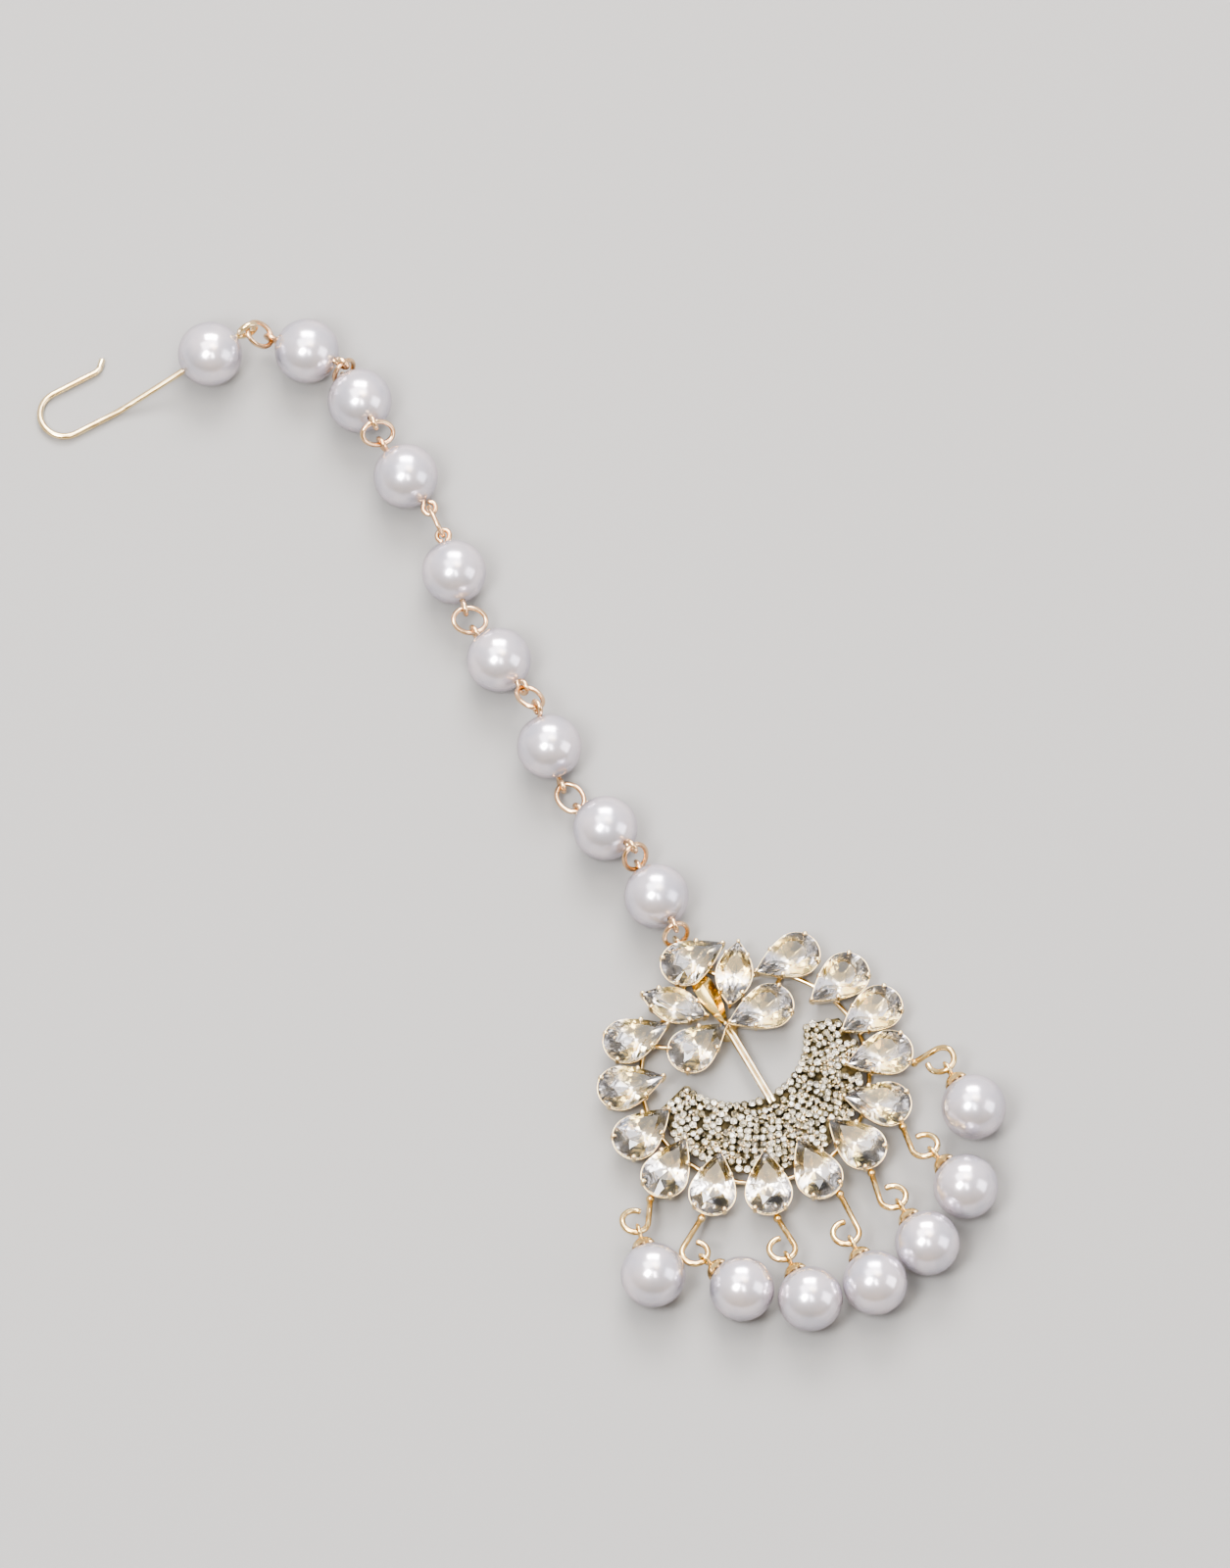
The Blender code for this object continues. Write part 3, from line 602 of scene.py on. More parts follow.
# %% Lay out the stones
RING_R = 15.4
RING_CENTRE = Vector((0, -6.9, 0))
RING_PITCH = 22.5
PEAR = (8.3, 5.6)
MARQUISE = (8.4, 4.4)
GIRDLE_Z = 3.2
RING_STONES = (
    # step, degrees off that step, radius share, aim
    (-6, 0.0, 0.982, 174),
    (-5, 1.6, 0.995, 167),
    (-4, 1.8, 1.031, -167),
    (-3, -0.7, 1.078, -147),
    (-2, -2.5, 1.029, -129),
    (-1, -0.7, 0.975, -114),
    (0, 0.0, 0.963, -91),
    (1, 0.8, 1.000, -70),
    (2, -0.3, 1.010, -39),
    (3, 0.3, 0.993, -12),
    (4, -1.4, 1.034, 5),
    (5, -2.6, 1.001, 10),
    (6, 1.0, 0.979, -4),
)
PETALS = (
    # node, cut, aim, hub centre to the near tip
    ("petal_pear_1", "pear", 190, 0.31),
    ("petal_pear_2", "pear", -5, 0.2),
    ("petal_marquise_1", "marquise", 131, 2.8),
    ("petal_marquise_2", "marquise", 54, 2.39),
)


def ring_seat(step):
    """The place and aim of the ring's stone at this step from the lowest one."""
    shift, share, aim = {row[0]: row[1:] for row in RING_STONES}[step]
    down = heading(step * RING_PITCH + shift - 90)
    return RING_CENTRE + down * RING_R * share, aim


def stone_seats():
    """Each stone's node name, cut, place and aim."""
    seats = []
    for number, row in enumerate(RING_STONES, 1):
        seats.append((f"ring_stone_{number}", "pear", *ring_seat(row[0])))
    seats.append(("top_stone", "pear", RING_CENTRE + Vector((0.45, RING_R * 1.062, 0)), 180))
    for name, cut, aim, gap in PETALS:
        length = (PEAR if cut == "pear" else MARQUISE)[0]
        seats.append((name, cut, heading(aim) * (gap + length / 2), aim))
    return seats


seats = stone_seats()
for name, _, at, _ in seats:
    low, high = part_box(name)
    off = ((low + high) / 2 - at * MM).xy.length
    assert off < 0.6 * MM, (name, off)
print("stones:", len(seats))


# %% [markdown]
# ## The outline of a pear and of a marquise
#
# A pear is half a circle that runs out into a point, and a marquise has a point at both ends. A
# circle's points are moved onto that outline, and each keeps its angle in a layer of the mesh.
# Extruding copies that angle, so later levels take the same outline at a new size and height.

# %% Shape a level of a stone
PEAR_TAPER = 1.6
MARQUISE_TAPER = 1.9


def outline_point(cut, angle, grow=0.0):
    """The place on the outline at this angle, with the outline larger all round by grow."""
    length, width = (PEAR if cut == "pear" else MARQUISE)
    length += 2 * grow
    half = width / 2 + grow
    side = 1 if sin(angle) >= 0 else -1
    if cut == "marquise":
        share = abs(cos(angle))
        return Vector((length / 2 * cos(angle), side * half * (1 - share**MARQUISE_TAPER), 0))
    middle = length / 2 - half
    if cos(angle) >= 0:
        return Vector((middle + half * cos(angle), half * sin(angle), 0))
    share = abs(atan2(sin(angle), cos(angle))) / (pi / 2) - 1
    tail = middle + length / 2
    return Vector((middle - tail * share, side * half * (1 - share**PEAR_TAPER), 0))


def outline_ring(work, cut, sides, height, share=1.0, grow=0.0, turn=0.0):
    """A ring of edges on the outline, made from a circle. Returns its vertices."""
    around = work.verts.layers.float.get("around") or work.verts.layers.float.new("around")
    ring = bmesh.ops.create_circle(work, segments=sides, radius=1.0)["verts"]
    for vert in ring:
        vert[around] = atan2(vert.co.y, vert.co.x) + turn
        set_level(vert, vert[around], cut, height, share, grow)
    return ring


def set_level(vert, angle, cut, height, share=1.0, grow=0.0):
    spot = outline_point(cut, angle, grow) * share
    vert.co = Vector((spot.x, spot.y, height)) * MM


def extruded_level(work, edges, cut, height, share=1.0, grow=0.0):
    """Extrudes a ring of edges to the next level of the outline. Returns the new edges."""
    around = work.verts.layers.float["around"]
    ring, edges = grown_ring(work, edges)
    for vert in ring:
        set_level(vert, vert[around], cut, height, share, grow)
    return edges


print("pear tip in mm:", [round(x, 2) for x in outline_point("pear", pi)])

# %% [markdown]
# ## Cutting a stone
#
# A brilliant cut has a flat table, a belt of facets down to the girdle, and long facets under it
# that meet at a point. Their corners are rings of points at a few heights. A convex hull round them
# gives the facets, and nearly flat pairs of triangles are joined afterwards.

# %% Cut the two stones
GIRDLE_H = 0.18
CROWN_H = 0.85
TABLE_SHARE = 0.58
PAVILION = 0.82
CULET_SHARE = 0.06
FOIL_SLOT = 1
PHOTO_RIGHT = Vector((0.875, -0.485, 0))
PHOTO_UP = Vector((0.485, 0.875, 0))


def hulled(work, flatten=0.0):
    """Draws the hull of all points and joins nearly flat faces. Its lower faces take the foil."""
    hull = bmesh.ops.convex_hull(work, input=work.verts)
    loose = [item for item in hull["geom_interior"] + hull["geom_unused"] if item.is_valid]
    verts = [item for item in loose if isinstance(item, bmesh.types.BMVert)]
    bmesh.ops.delete(work, geom=verts, context="VERTS")
    spare = [edge for edge in work.edges if not edge.link_faces]
    bmesh.ops.delete(work, geom=spare, context="EDGES")
    if flatten:
        limit = radians(flatten)
        bmesh.ops.dissolve_limit(work, angle_limit=limit, verts=work.verts, edges=work.edges)
    bmesh.ops.recalc_face_normals(work, faces=work.faces)
    for face in work.faces:
        if face.normal.z < -0.2:
            face.material_index = FOIL_SLOT
    return work


def cut_stone(cut):
    """A faceted stone with the foot of its girdle at z = 0."""
    work = bmesh.new()
    half = (PEAR if cut == "pear" else MARQUISE)[1] / 2
    depth = half * PAVILION
    step = pi / 8
    outline_ring(work, cut, 8, GIRDLE_H + CROWN_H, TABLE_SHARE)
    outline_ring(work, cut, 8, GIRDLE_H + CROWN_H * 0.56, 0.79, turn=step)
    outline_ring(work, cut, 32, GIRDLE_H)
    outline_ring(work, cut, 32, 0.0)
    outline_ring(work, cut, 8, -depth * 0.5, 0.56, turn=step)
    outline_ring(work, cut, 8, -depth * (1 - CULET_SHARE), CULET_SHARE)
    return hulled(work, 1.5)


def placed(pattern, at, aim, lift=GIRDLE_Z):
    """A copy of a bmesh, turned about Z and set at a place in millimetres."""
    work = pattern.copy()
    turn = Matrix.Rotation(radians(aim), 4, "Z")
    seat = Matrix.Translation((at + UP * lift) * MM)
    bmesh.ops.transform(work, verts=work.verts, matrix=seat @ turn)
    return work


def marked(work, at, size):
    """Gives each corner its place in the stone as UV, with V towards the picture's top. The foil's
    painted reflections are placed by it.
    """
    uv = work.loops.layers.uv.new("place")
    for face in work.faces:
        for loop in face.loops:
            out = (loop.vert.co / MM - at) / size
            loop[uv].uv = (out.dot(PHOTO_RIGHT), out.dot(PHOTO_UP))
    return work


cuts = {cut: cut_stone(cut) for cut in ("pear", "marquise")}
for name, cut, at, aim in seats:
    work = marked(placed(cuts[cut], at, aim), at, PEAR[1])
    finished(f"cut_{name}", work, [clear, foil], [name], sharp=1)
print("facets:", {cut: len(work.faces) for cut, work in cuts.items()})

# %% [markdown]
# ## Settings
#
# Each stone sits in a thin cup that follows its outline and tapers to its foot. It is extruded from
# foot to rim and back down inside. Claws grow from it, lean over the girdle and end in a bead.

# %% Make the cups
CUP_RIM = 0.16
CLAW_D = 0.42
CLAW_BEAD_D = 0.62
TIP_BEAD_D = 0.5
CLAW_ANGLES = {"pear": (42, -42, 135, -135, 180), "marquise": (52, -52, 128, -128, 0, 180)}


def joined(target, source):
    """Adds the second bmesh to the first."""
    spare = bpy.data.meshes.new("spare")
    source.to_mesh(spare)
    target.from_mesh(spare)
    bpy.data.meshes.remove(spare)


def cup(cut):
    work = bmesh.new()
    ring = outline_ring(work, cut, 40, -3.0, grow=-0.9)
    edges = ring_edges(ring)
    bottom = list(edges)
    levels = (
        (-2.8, 1.0, -0.78), (-1.2, 1.0, -0.12), (-0.55, 1.0, CUP_RIM - 0.06),
        (-0.2, 1.0, CUP_RIM), (-0.1, 1.0, CUP_RIM - 0.04), (-0.1, 1.0, 0.04),
        (-0.2, 0.99, -0.02), (-2.3, 0.14, 0.0),
    )
    for height, share, grow in levels:
        edges = extruded_level(work, edges, cut, height, share, grow)
    bmesh.ops.edgeloop_fill(work, edges=bottom)
    bmesh.ops.edgeloop_fill(work, edges=edges)
    return work


def claws(cut):
    work = bmesh.new()
    for angle in CLAW_ANGLES[cut]:
        rim = outline_point(cut, radians(angle), 0.13)
        inward = -rim.normalized()
        bead = TIP_BEAD_D if angle in (0, 180) else CLAW_BEAD_D
        path = [
            rim + inward * 0.45 - UP * 1.7,
            rim + inward * 0.02 - UP * 0.7,
            rim + UP * 0.1,
            rim + inward * 0.16 + UP * 0.42,
        ]
        draw_wire(work, rounded(path), CLAW_D, sides=8)
        made = bmesh.ops.create_uvsphere(work, u_segments=10, v_segments=7, radius=bead / 2 * MM)
        crown = rim + inward * 0.2 + UP * 0.42
        bmesh.ops.scale(work, verts=made["verts"], vec=(1, 1, 0.8))
        bmesh.ops.translate(work, verts=made["verts"], vec=crown * MM)
    return work


cups = {cut: cup(cut) for cut in ("pear", "marquise")}
claw_sets = {cut: claws(cut) for cut in ("pear", "marquise")}
basket = bmesh.new()
prongs = bmesh.new()
for name, cut, at, aim in seats:
    joined(basket, placed(cups[cut], at, aim))
    joined(prongs, placed(claw_sets[cut], at, aim))
frame_piece("stone_cups", basket)
frame_piece("stone_claws", prongs, sharp=60)
print("cups and claw sets:", len(seats))

# %% [markdown]
# ## Rail, links, hub and bail
#
# A round rail carries the ring of cups on the back, and short links tie the flower to the ring and
# to the top stone. A disc behind the flower rests on the forehead. At the top a small loop, the
# bail, holds the chain's first ring.

# %% Bend the rail and add the links
RAIL_R = 14.0
RAIL_D = 0.62
RAIL_END = 137
RAIL_STEPS = 60
LINK_D = 0.6
LINK_Z = 0.62

work = bmesh.new()
path = []
for i in range(RAIL_STEPS + 1):
    angle = radians(-90 - RAIL_END + 2 * RAIL_END * i / RAIL_STEPS)
    path.append(RING_CENTRE + Vector((cos(angle), sin(angle), 0)) * RAIL_R + UP * RAIL_D / 2)
draw_wire(work, path, RAIL_D, sides=12)
frame_piece("back_rail", work, sharp=60)

spots = {name: at for name, _, at, _ in seats}
joins = (
    ("petal_marquise_1", "ring_stone_1"), ("petal_marquise_2", "ring_stone_13"),
    ("petal_pear_1", "ring_stone_1"), ("petal_pear_2", "ring_stone_13"),
    ("petal_marquise_1", "top_stone"), ("petal_marquise_2", "top_stone"),
)
work = bmesh.new()
for one, other in joins:
    draw_wire(work, [spots[one] + UP * LINK_Z, spots[other] + UP * LINK_Z], LINK_D, sides=10)
frame_piece("joining_links", work, sharp=60)
print("links:", len(joins))

# %% Turn the hub and bend the bail
HUB_R = 1.3
HUB_H = 1.4
HUB_TOP_R = 0.8
work = bmesh.new()
made = bmesh.ops.create_cone(
    work, cap_ends=True, segments=36, radius1=HUB_R * MM, radius2=HUB_TOP_R * MM, depth=HUB_H * MM
)
bmesh.ops.translate(work, verts=made["verts"], vec=(0, 0, HUB_H / 2 * MM))
top_edges = [edge for edge in work.edges if all(v.co.z > HUB_H * 0.9 * MM for v in edge.verts)]
bmesh.ops.bevel(
    work, geom=top_edges, offset=0.3 * MM, segments=4, profile=0.5, affect="EDGES", material=-1
)
frame_piece("flower_hub", work)

work = bmesh.new()
path = round_path(BAIL_PLACE, Vector((0, BAIL_R, 0)), UP * BAIL_R)
draw_wire(work, path, BAIL_WIRE, closed=True)
frame_piece("top_bail", work)
print("bail in mm:", [round(x, 2) for x in BAIL_PLACE])

# %% [markdown]
# ## Leaf and stick
#
# A folded leaf of yellower gold runs from the top stone to the flower's centre, and a paler stick
# goes on to the crescent's inner edge. The leaf is a grid, narrowed towards the centre, creased
# along its middle and thickened. The stick is two wires side by side, with a dark groove between.

# %% Fold the leaf
LEAF_LENGTH = 7.6
LEAF_Z = 2.05
LEAF_FOLD = 0.55
LEAF_THICKNESS = 0.35
work = bmesh.new()
made = bmesh.ops.create_grid(work, x_segments=4, y_segments=14, size=1.0)
for vert in made["verts"]:
    along = (vert.co.y + 1) / 2
    half = 0.35 + 0.95 * sin(pi / 2 * min(1.0, along / 0.7)) ** 1.5
    if along > 0.85:
        half *= 1 - (along - 0.85) * 1.6
    across = vert.co.x
    z = LEAF_Z - LEAF_FOLD * abs(across) + 0.18 * sin(pi * along) + (0.12 if across < 0 else 0)
    vert.co = Vector((across * half, along * LEAF_LENGTH, z)) * MM
everything = work.faces[:] + work.edges[:] + work.verts[:]
bmesh.ops.solidify(work, geom=everything, thickness=LEAF_THICKNESS * MM)
leaf = frame_piece("folded_leaf", work, [bright_gold], sharp=25)
low = min(v.co.z for v in leaf.data.vertices) / MM
print("leaf from z in mm:", round(low, 2))

# %% Draw the stick
STICK_WIRE = 0.56
STICK_REACH = 11.3
STICK_Z = 1.75
work = bmesh.new()
for x in (-STICK_WIRE / 2, STICK_WIRE / 2):
    path = [Vector((x, -STICK_REACH * i / 8, STICK_Z)) for i in range(9)]
    draw_wire(work, path, STICK_WIRE, sides=16)
frame_piece("polished_stick", work, [champagne], sharp=60)
print("stick length in mm:", STICK_REACH)

# %% [markdown]
# ## The crescent of small stones
#
# The crescent is a plate set closely with tiny round crystals: a row along its inner edge, uneven
# rows along its outer edge, and random tries in what is left. A seat that would crowd another,
# reach under a large stone or meet the stick is skipped, and two are empty, as on the real piece.
# Each crystal is sized to its room and sits a little askew in a collet, a tapered ring of metal.

# %% Choose the seats
CRESCENT_R = 13.3
HOLE_CENTRE = Vector((0, -1.6, 0))
HOLE_R = 8.5
PAVE_PITCH = 0.94
PAVE_ROWS = 9
ROW_STEP = 0.84
ROW_DISORDER = 0.14
PAVE_LEAST = 0.82  # between two seats, for the rows and the first half of the tries
PAVE_FILL = 0.64  # for the other half
PAVE_TRIES = 9000
EDGE_MARGIN = 0.45
STONE_MARGIN = 0.3
PLATE_TOP = 1.3
HORN_Y = -1.6
HORN_SLOPE = 0.32
EMPTY_SEATS = (Vector((-6.86, -11.1, 0)), Vector((6.41, -11.31, 0)))
EMPTY_R = 0.7
STICK_ROOM = 0.8


def inside_crescent(spot, margin):
    outer = (spot - RING_CENTRE).length < CRESCENT_R - margin
    hole = (spot - HOLE_CENTRE).length > HOLE_R + margin - 0.01
    return outer and hole and spot.y < HORN_Y - HORN_SLOPE * abs(spot.x)


def under_stone(spot, margin):
    """Whether the spot lies within this margin of a ring stone's outline."""
    for _, _, at, aim in seats[:len(RING_STONES)]:
        seen = spot - at
        seen.rotate(Matrix.Rotation(radians(-aim), 3, "Z"))
        half = PEAR[1] / 2
        middle = PEAR[0] / 2 - half
        if seen.x > middle:
            near = (seen - Vector((middle, 0, 0))).length < half + margin
        else:
            share = (middle - seen.x - margin) / (middle + PEAR[0] / 2)
            near = share < 1 and abs(seen.y) < half * (1 - max(0, share)**PEAR_TAPER) + margin
        if near:
            return True
    return False


def arc_spots(centre, radius, offset):
    count = int(2 * pi * radius / PAVE_PITCH)
    return [
        centre + heading(-90 + 360 * (i + offset) / count) * radius for i in range(count)
    ]


chance = random.Random(11)
candidates = arc_spots(HOLE_CENTRE, HOLE_R + 0.5, 0.5)
for k in range(PAVE_ROWS):
    for spot in arc_spots(RING_CENTRE, CRESCENT_R - 0.5 - k * ROW_STEP, 0.5 * (k % 2)):
        askew = heading(chance.uniform(0, 360)) * chance.uniform(0, ROW_DISORDER)
        candidates.append(spot + askew)
for _ in range(PAVE_TRIES):
    candidates.append(RING_CENTRE + heading(chance.uniform(0, 360)) * chance.uniform(5, CRESCENT_R))
pave_seats = []
for number, spot in enumerate(candidates):
    least = PAVE_LEAST if number < len(candidates) - PAVE_TRIES / 2 else PAVE_FILL
    taken = (
        any((spot - other).length < least for other in pave_seats)
        or any((spot - gap).length < EMPTY_R for gap in EMPTY_SEATS)
        or abs(spot.x) < STICK_ROOM and spot.y > -STICK_REACH - 0.3
    )
    if inside_crescent(spot, EDGE_MARGIN) and not taken and not under_stone(spot, STONE_MARGIN):
        pave_seats.append(spot)
print("small crystals:", len(pave_seats))

# %% Cut the crystals and turn their collets
CRYSTAL_R = 0.46
CRYSTAL_LEVELS = (
    # height, share of the radius, turn in eighths
    (0.26, 0.55, 0.0), (0.06, 1.0, 0.5), (0.0, 1.0, 0.5), (-0.34, 0.08, 0.0),
)
COLLET_LEVELS = (
    # radius, height
    (0.40, -0.75), (0.53, -0.08), (0.50, 0.0), (0.42, -0.06), (0.1, -0.4),
)
CRYSTAL_LIFT = 0.55  # girdle over the plate
LIFT_DISORDER = 0.14
MOST_LEAN = 24


def small_crystal():
    """A round cut of a few dozen faces, the foot of its girdle at z = 0."""
    work = bmesh.new()
    for height, share, turn in CRYSTAL_LEVELS:
        made = bmesh.ops.create_circle(work, segments=8, radius=CRYSTAL_R * share * MM)["verts"]
        bmesh.ops.rotate(
            work, verts=made, cent=(0, 0, 0), matrix=Matrix.Rotation(turn * pi / 4, 3, "Z")
        )
        bmesh.ops.translate(work, verts=made, vec=(0, 0, height * MM))
    return hulled(work)


def small_collet():
    """A tapered ring, open at the top, that the crystal sits in."""
    work = bmesh.new()
    (size, z), *others = COLLET_LEVELS
    ring = bmesh.ops.create_circle(work, segments=10, radius=size * MM)["verts"]
    edges = ring_edges(ring)
    bmesh.ops.translate(work, verts=ring, vec=(0, 0, z * MM))
    for radius, height in others:
        ring, edges = grown_ring(work, edges)
        bmesh.ops.scale(work, verts=ring, vec=(radius / size, radius / size, 1))
        bmesh.ops.translate(work, verts=ring, vec=(0, 0, (height - z) * MM))
        size, z = radius, height
    return work


crystal = small_crystal()
collet = small_collet()
crystals = bmesh.new()
collets = bmesh.new()
for spot in pave_seats:
    lift = PLATE_TOP + CRYSTAL_LIFT + chance.uniform(-LIFT_DISORDER, LIFT_DISORDER)
    tilt = radians(chance.uniform(0, MOST_LEAN))
    lean = Matrix.Rotation(tilt, 4, heading(chance.uniform(0, 360)))
    turned = crystal.copy()
    nearest = min((spot - other).length for other in pave_seats if other is not spot)
    size = min(1.1, nearest / ROW_STEP) * chance.uniform(0.9, 1.1)
    spun = Matrix.Rotation(radians(chance.uniform(0, 45)), 4, "Z") @ Matrix.Scale(size, 4)
    seat = Matrix.Translation((spot + UP * lift) * MM)
    bmesh.ops.transform(turned, verts=turned.verts, matrix=seat @ lean @ spun)
    joined(crystals, turned)
    joined(collets, placed(collet, spot, chance.uniform(0, 36), lift))
finished("crescent_crystals", crystals, [clear, pave_foil], ["pendant_frame"], sharp=1)
frame_piece("crescent_collets", collets, [olive_gold])
print("faces of one crystal:", len(crystal.faces))

# %% Add the grains of metal between them
GRAIN_R = 0.17
GRAIN_LIFT = 0.68
GRAIN_SPAN = 1.2  # between the two seats
GRAIN_SHARE = 0.4
grains = bmesh.new()
for i, spot in enumerate(pave_seats):
    for other in pave_seats[i + 1:]:
        if (spot - other).length < GRAIN_SPAN and chance.random() < GRAIN_SHARE:
            made = bmesh.ops.create_icosphere(grains, subdivisions=1, radius=GRAIN_R * MM)["verts"]
            middle = (spot + other) / 2 + UP * (PLATE_TOP + GRAIN_LIFT)
            bmesh.ops.translate(grains, verts=made, vec=middle * MM)
frame_piece("crescent_grains", grains, sharp=80)
print("seats they lie between:", len(pave_seats))

# %% Lay the plate under them, its top painted near black as shade
PLATE_STEPS = 72
PLATE_FOOT = 0.2
OUTER_END = 96.8  # degrees from the bottom
INNER_END = 73.6
work = bmesh.new()
made = bmesh.ops.create_grid(work, x_segments=1, y_segments=PLATE_STEPS, size=1.0)
for vert in made["verts"]:
    outer = radians(OUTER_END * vert.co.y)
    inner = radians(INNER_END * vert.co.y)
    if vert.co.x > 0:
        spot = RING_CENTRE + Vector((sin(outer), -cos(outer), 0)) * (CRESCENT_R - 0.6)
    else:
        spot = HOLE_CENTRE + Vector((sin(inner), -cos(inner), 0)) * (HOLE_R + 0.2)
    vert.co = (spot + UP * PLATE_FOOT) * MM
extruded = bmesh.ops.extrude_face_region(work, geom=work.faces[:])["geom"]
upper = [item for item in extruded if isinstance(item, bmesh.types.BMVert)]
bmesh.ops.translate(work, verts=upper, vec=(0, 0, (PLATE_TOP - PLATE_FOOT) * MM))
bmesh.ops.recalc_face_normals(work, faces=work.faces)
# Its top faces take the near-black finish, painted shade between the crystals.
for face in work.faces:
    if face.normal.z > 0.5:
        face.material_index = 1
frame_piece("crescent_plate", work, [gold, painted_shade_plate])
print("plate top in mm:", PLATE_TOP)

# %% [markdown]
# ## The seven drops
#
# An open hook of wire grows from a lug at the round end of each of the seven lowest stones. Its
# loop holds the eye of a petalled cap, which is glued on a pearl. The pearls lie side by side.

# %% Lay out the drops
LOOP_R = 1.6
HOOK_SHOWN = 0.76
LOOP_SWEEP = 285
LUG_Z = 2.0
LUG_OUT = 0.4  # from its stone
LUG_R = 0.52
LOOP_STEPS = 30
CAP_WALL = 0.35
CAP_PLAY = 0.16
CAP_NECK = 0.35
CAP_EYE_R = 0.825
CAP_EYE_WIRE = 0.45
CAP_TOP = PEARL_R + CAP_PLAY + CAP_WALL
DROP_REACH = CAP_TOP + CAP_NECK + CAP_EYE_R + CAP_EYE_WIRE / 2
DROP_LENGTH = 13.05
DROP_HEADING = -100.1
DROPS = (
    # step on the ring, lug's turn from that stone's aim, heading from the pearl before it, gap
    # to it, way the cap faces, stem side
    (-3, -5, 141.5, 3.0, 78, -1),
    (-2, -15, 142, 0.45, 111, 1),
    (-1, 15, 166, 0.2, 88, -1),
    (0, 25, 0, 0, 89, -1),
    (1, -30, 10, 0.25, 95, 1),
    (2, -45, 28.5, 0.8, 103, 1),
    (3, -35, 55.5, 2.5, 93, -1),
)
LOWEST = 3


def lug_place(step, turn):
    centre, aim = ring_seat(step)
    middle = centre + heading(aim) * (PEAR[0] - PEAR[1]) / 2
    return middle + heading(aim + turn) * (PEAR[1] / 2 + LUG_OUT) + UP * LUG_Z


def drop_layout():
    lugs = [lug_place(row[0], row[1]) for row in DROPS]
    pearls = [None] * len(DROPS)
    lowest = lugs[LOWEST] + heading(DROP_HEADING) * DROP_LENGTH
    pearls[LOWEST] = Vector((lowest.x, lowest.y, PEARL_R))
    for i in list(range(LOWEST - 1, -1, -1)) + list(range(LOWEST + 1, len(DROPS))):
        before = pearls[i + 1] if i < LOWEST else pearls[i - 1]
        pearls[i] = before + heading(DROPS[i][2]) * (PEARL_D + DROPS[i][3])
    return [
        (i + 1, lugs[i], pearls[i], heading(DROPS[i][4]), DROPS[i][5]) for i in range(len(DROPS))
    ]


layout = drop_layout()
for number, _, centre, _, _ in layout:
    low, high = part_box(f"drop_pearl_{number}")
    assert ((low + high) / 2 - centre * MM).length < 0.3 * MM, number
print("lowest pearl in mm:", [round(x, 2) for x in layout[LOWEST][2]])

# %% Bend the open hooks
for number, lug, centre, facing, side in layout:
    far = centre + facing * DROP_REACH
    loop = far + facing * LOOP_R
    span = Vector((loop.x - lug.x, loop.y - lug.y, 0))
    straight = degrees(atan2(span.y, span.x))
    touch = degrees(asin(LOOP_R / span.length))
    start = straight + 180 + side * (90 - touch)
    path = [lug]
    for i in range(LOOP_STEPS + 1):
        point = loop + heading(start + side * LOOP_SWEEP * i / LOOP_STEPS) * LOOP_R
        share = (point - lug).dot(span) / (far - lug).dot(span)
        point.z = lug.z + (far.z - lug.z) * min(1, share)
        path.append(point)
    work = bmesh.new()
    draw_wire(work, path, HOOK_SHOWN)
    made = bmesh.ops.create_uvsphere(work, u_segments=20, v_segments=14, radius=LUG_R * MM)
    bmesh.ops.scale(work, verts=made["verts"], vec=(1, 1, 1.15))
    bmesh.ops.translate(work, verts=made["verts"], vec=lug * MM)
    frame_piece(f"open_hook_{number}", work, [warm_gold], sharp=60)
print("open hooks:", len(layout))

# %% [markdown]
# The cap is a small bell. Its rings are extruded outwards from its neck, waved more and more into
# petals, and then given a thickness. The eye stands on a short neck.

# %% Make the petalled caps and the drop pearls
CAP_PETALS = 7
CAP_THICKNESS = 0.2
CAP_LEVELS = (
    # radius, height over the pearl's top, depth of the petals' waves
    (0.42, 0.95, 0.0), (0.62, 0.90, 0.02), (0.92, 0.76, 0.05), (1.2, 0.54, 0.09),
    (1.42, 0.26, 0.13), (1.55, -0.06, 0.18), (1.62, -0.16, 0.2),
)


def petalled_cap():
    work = bmesh.new()
    first, *others = CAP_LEVELS
    sides = CAP_PETALS * 6
    ring = bmesh.ops.create_circle(work, segments=sides, radius=first[0] * MM)["verts"]
    bmesh.ops.translate(work, verts=ring, vec=UP * (PEARL_R + first[1]) * MM)
    edges = ring_edges(ring)
    for radius, height, wave in others:
        ring, edges = grown_ring(work, edges)
        for vert in ring:
            turn = atan2(vert.co.y, vert.co.x)
            drawn_in = wave * (0.5 - 0.5 * cos(CAP_PETALS * turn))
            flat = Vector((cos(turn), sin(turn), 0)) * (radius - drawn_in)
            vert.co = (flat + UP * (PEARL_R + height + drawn_in)) * MM
    bmesh.ops.recalc_face_normals(work, faces=work.faces)
    if sum(face.normal.z for face in work.faces) < 0:
        bmesh.ops.reverse_faces(work, faces=work.faces)
    everything = work.faces[:] + work.edges[:] + work.verts[:]
    bmesh.ops.solidify(work, geom=everything, thickness=CAP_THICKNESS * MM)
    neck = [UP * (CAP_TOP + 0.2), UP * (CAP_TOP + CAP_NECK + 0.1)]
    draw_wire(work, neck, CAP_EYE_WIRE * 2, sides=12)
    path = round_path(UP * DROP_REACH, Vector((CAP_EYE_R, 0, 0)), UP * CAP_EYE_R)
    draw_wire(work, path, CAP_EYE_WIRE, closed=True)
    return work


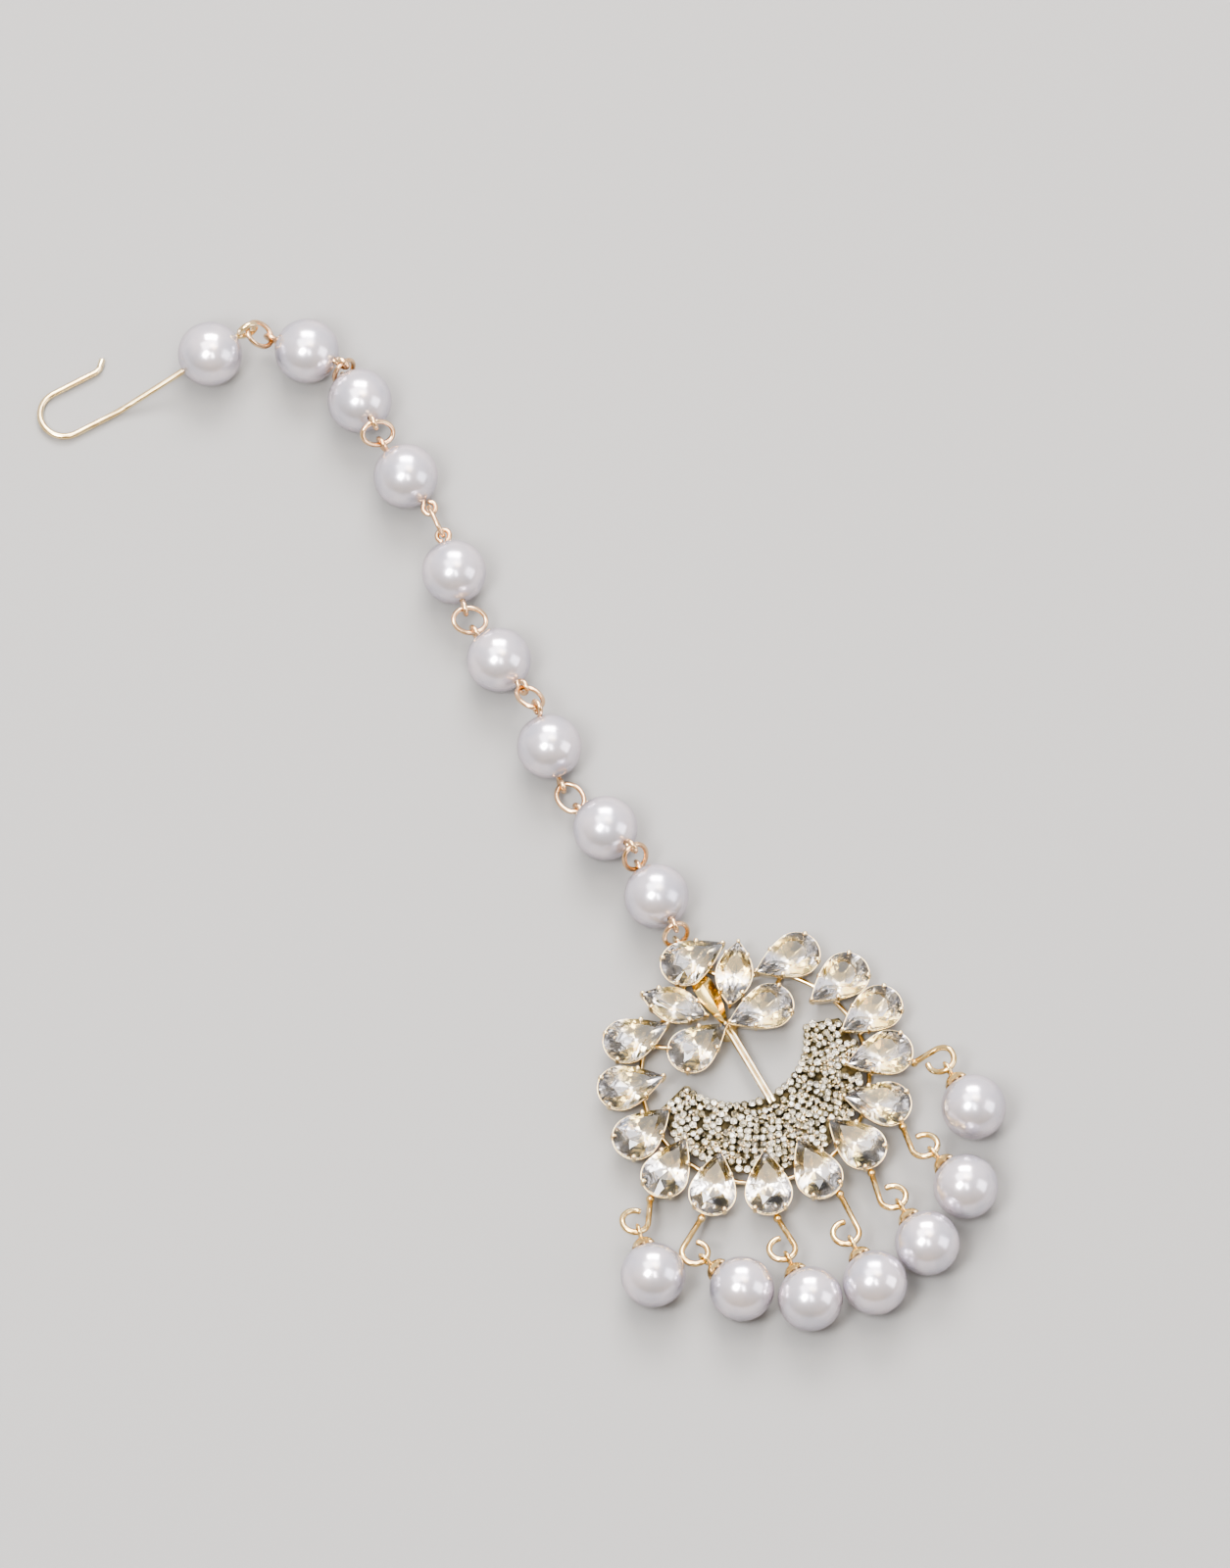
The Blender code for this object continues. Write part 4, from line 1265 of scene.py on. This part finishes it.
pattern = petalled_cap()
for number, _, centre, facing, _ in layout:
    x = facing.cross(UP)
    turn = Matrix((UP, -x, facing)).transposed().to_4x4()
    work = pattern.copy()
    seat = Matrix.Translation(centre * MM)
    bmesh.ops.transform(work, verts=work.verts, matrix=seat @ turn)
    finished(f"petalled_cap_{number}", work, [warm_gold], [f"drop_cap_{number}"])
    globe = drilled_globe(centre, facing, False)
    finished(f"pearl_drop_{number}", globe, [pearl], [f"drop_pearl_{number}"])
print("caps and drop pearls:", len(layout))

# %% [markdown]
# ## Floor and light
#
# Pearls and polished metal show mostly what they reflect. A broad softbox and a top panel stand
# behind and shine high on every pearl, and two window-like ones stand beside the camera. The metal
# and the stones throw back a small warm card and surroundings from white behind to soft brown.

# %% The floor
FLOOR_SIZE = 3.0
FLOOR_GAP = 0.0002
floor_mesh = bpy.data.meshes.new("floor")
work = bmesh.new()
bmesh.ops.create_grid(work, x_segments=1, y_segments=1, size=FLOOR_SIZE / 2)
bmesh.ops.translate(work, verts=work.verts, vec=(0, 0, -FLOOR_GAP))
work.to_mesh(floor_mesh)
work.free()
floor = shown("floor", floor_mesh)
floor_mesh.materials.append(
    plain_look("pale floor", Base_Color=(0.25, 0.247, 0.244, 1), Roughness=0.7)
)
print("floor size in m:", FLOOR_SIZE)

# %% The lights
LIGHT_DISTANCE = 0.8


def softbox(name, up_angle, right_angle, width, height, power, colour):
    """An area light seen this many degrees up and right of the camera, from the jewel."""
    way = to_camera.copy()
    way.rotate(Matrix.Rotation(radians(-up_angle), 3, picture_right))
    way.rotate(Matrix.Rotation(radians(right_angle), 3, picture_up))
    data = bpy.data.lights.new(name, "AREA")
    data.shape = "RECTANGLE"
    data.size = width
    data.size_y = height
    data.energy = power
    data.color = colour
    box = shown(name, data)
    box.location = view_centre + way * LIGHT_DISTANCE
    box.rotation_euler = way.to_track_quat("Z", "Y").to_euler()


softbox("back softbox", 66, 0, 0.5, 0.3, 9.0, (1.0, 0.97, 0.95))
softbox("window", 2, -18, 0.22, 0.3, 8.0, (1.0, 0.99, 0.98))
softbox("window pane", -2, 6, 0.1, 0.26, 1.2, (1.0, 0.99, 0.98))
softbox("warm card", 30, 10, 0.35, 0.22, 1.0, (1.0, 0.78, 0.5))
softbox("top panel", 38, -6, 0.8, 0.42, 5.0, (1.0, 0.98, 0.97))
softbox("side fill", 0, 60, 0.4, 0.5, 2.0, (0.95, 0.95, 1.0))

world = bpy.data.worlds.new("studio")
bpy.context.scene.world = world
world.use_nodes = True
sky = world.node_tree
way = sky.nodes.new("ShaderNodeTexCoord").outputs["Generated"]
behind = added(
    sky, "ShaderNodeVectorMath", {0: way}, {1: picture_up}, operation="DOT_PRODUCT"
).outputs["Value"]
share = added(
    sky, "ShaderNodeMapRange", {"Value": behind}, {"From Min": -0.75, "From Max": 0.55}
).outputs["Result"]
tone = added(
    sky, "ShaderNodeMix", {"Factor": share},
    {"A": (0.46, 0.38, 0.25, 1), "B": (1.0, 0.97, 1.0, 1)}, data_type="RGBA",
).outputs["Result"]
sky.links.new(tone, sky.nodes["Background"].inputs["Color"])
sky.nodes["Background"].inputs["Strength"].default_value = 1.0
bpy.context.scene.view_settings.look = "AgX - Medium High Contrast"
print("lights:", len(bpy.data.lights))
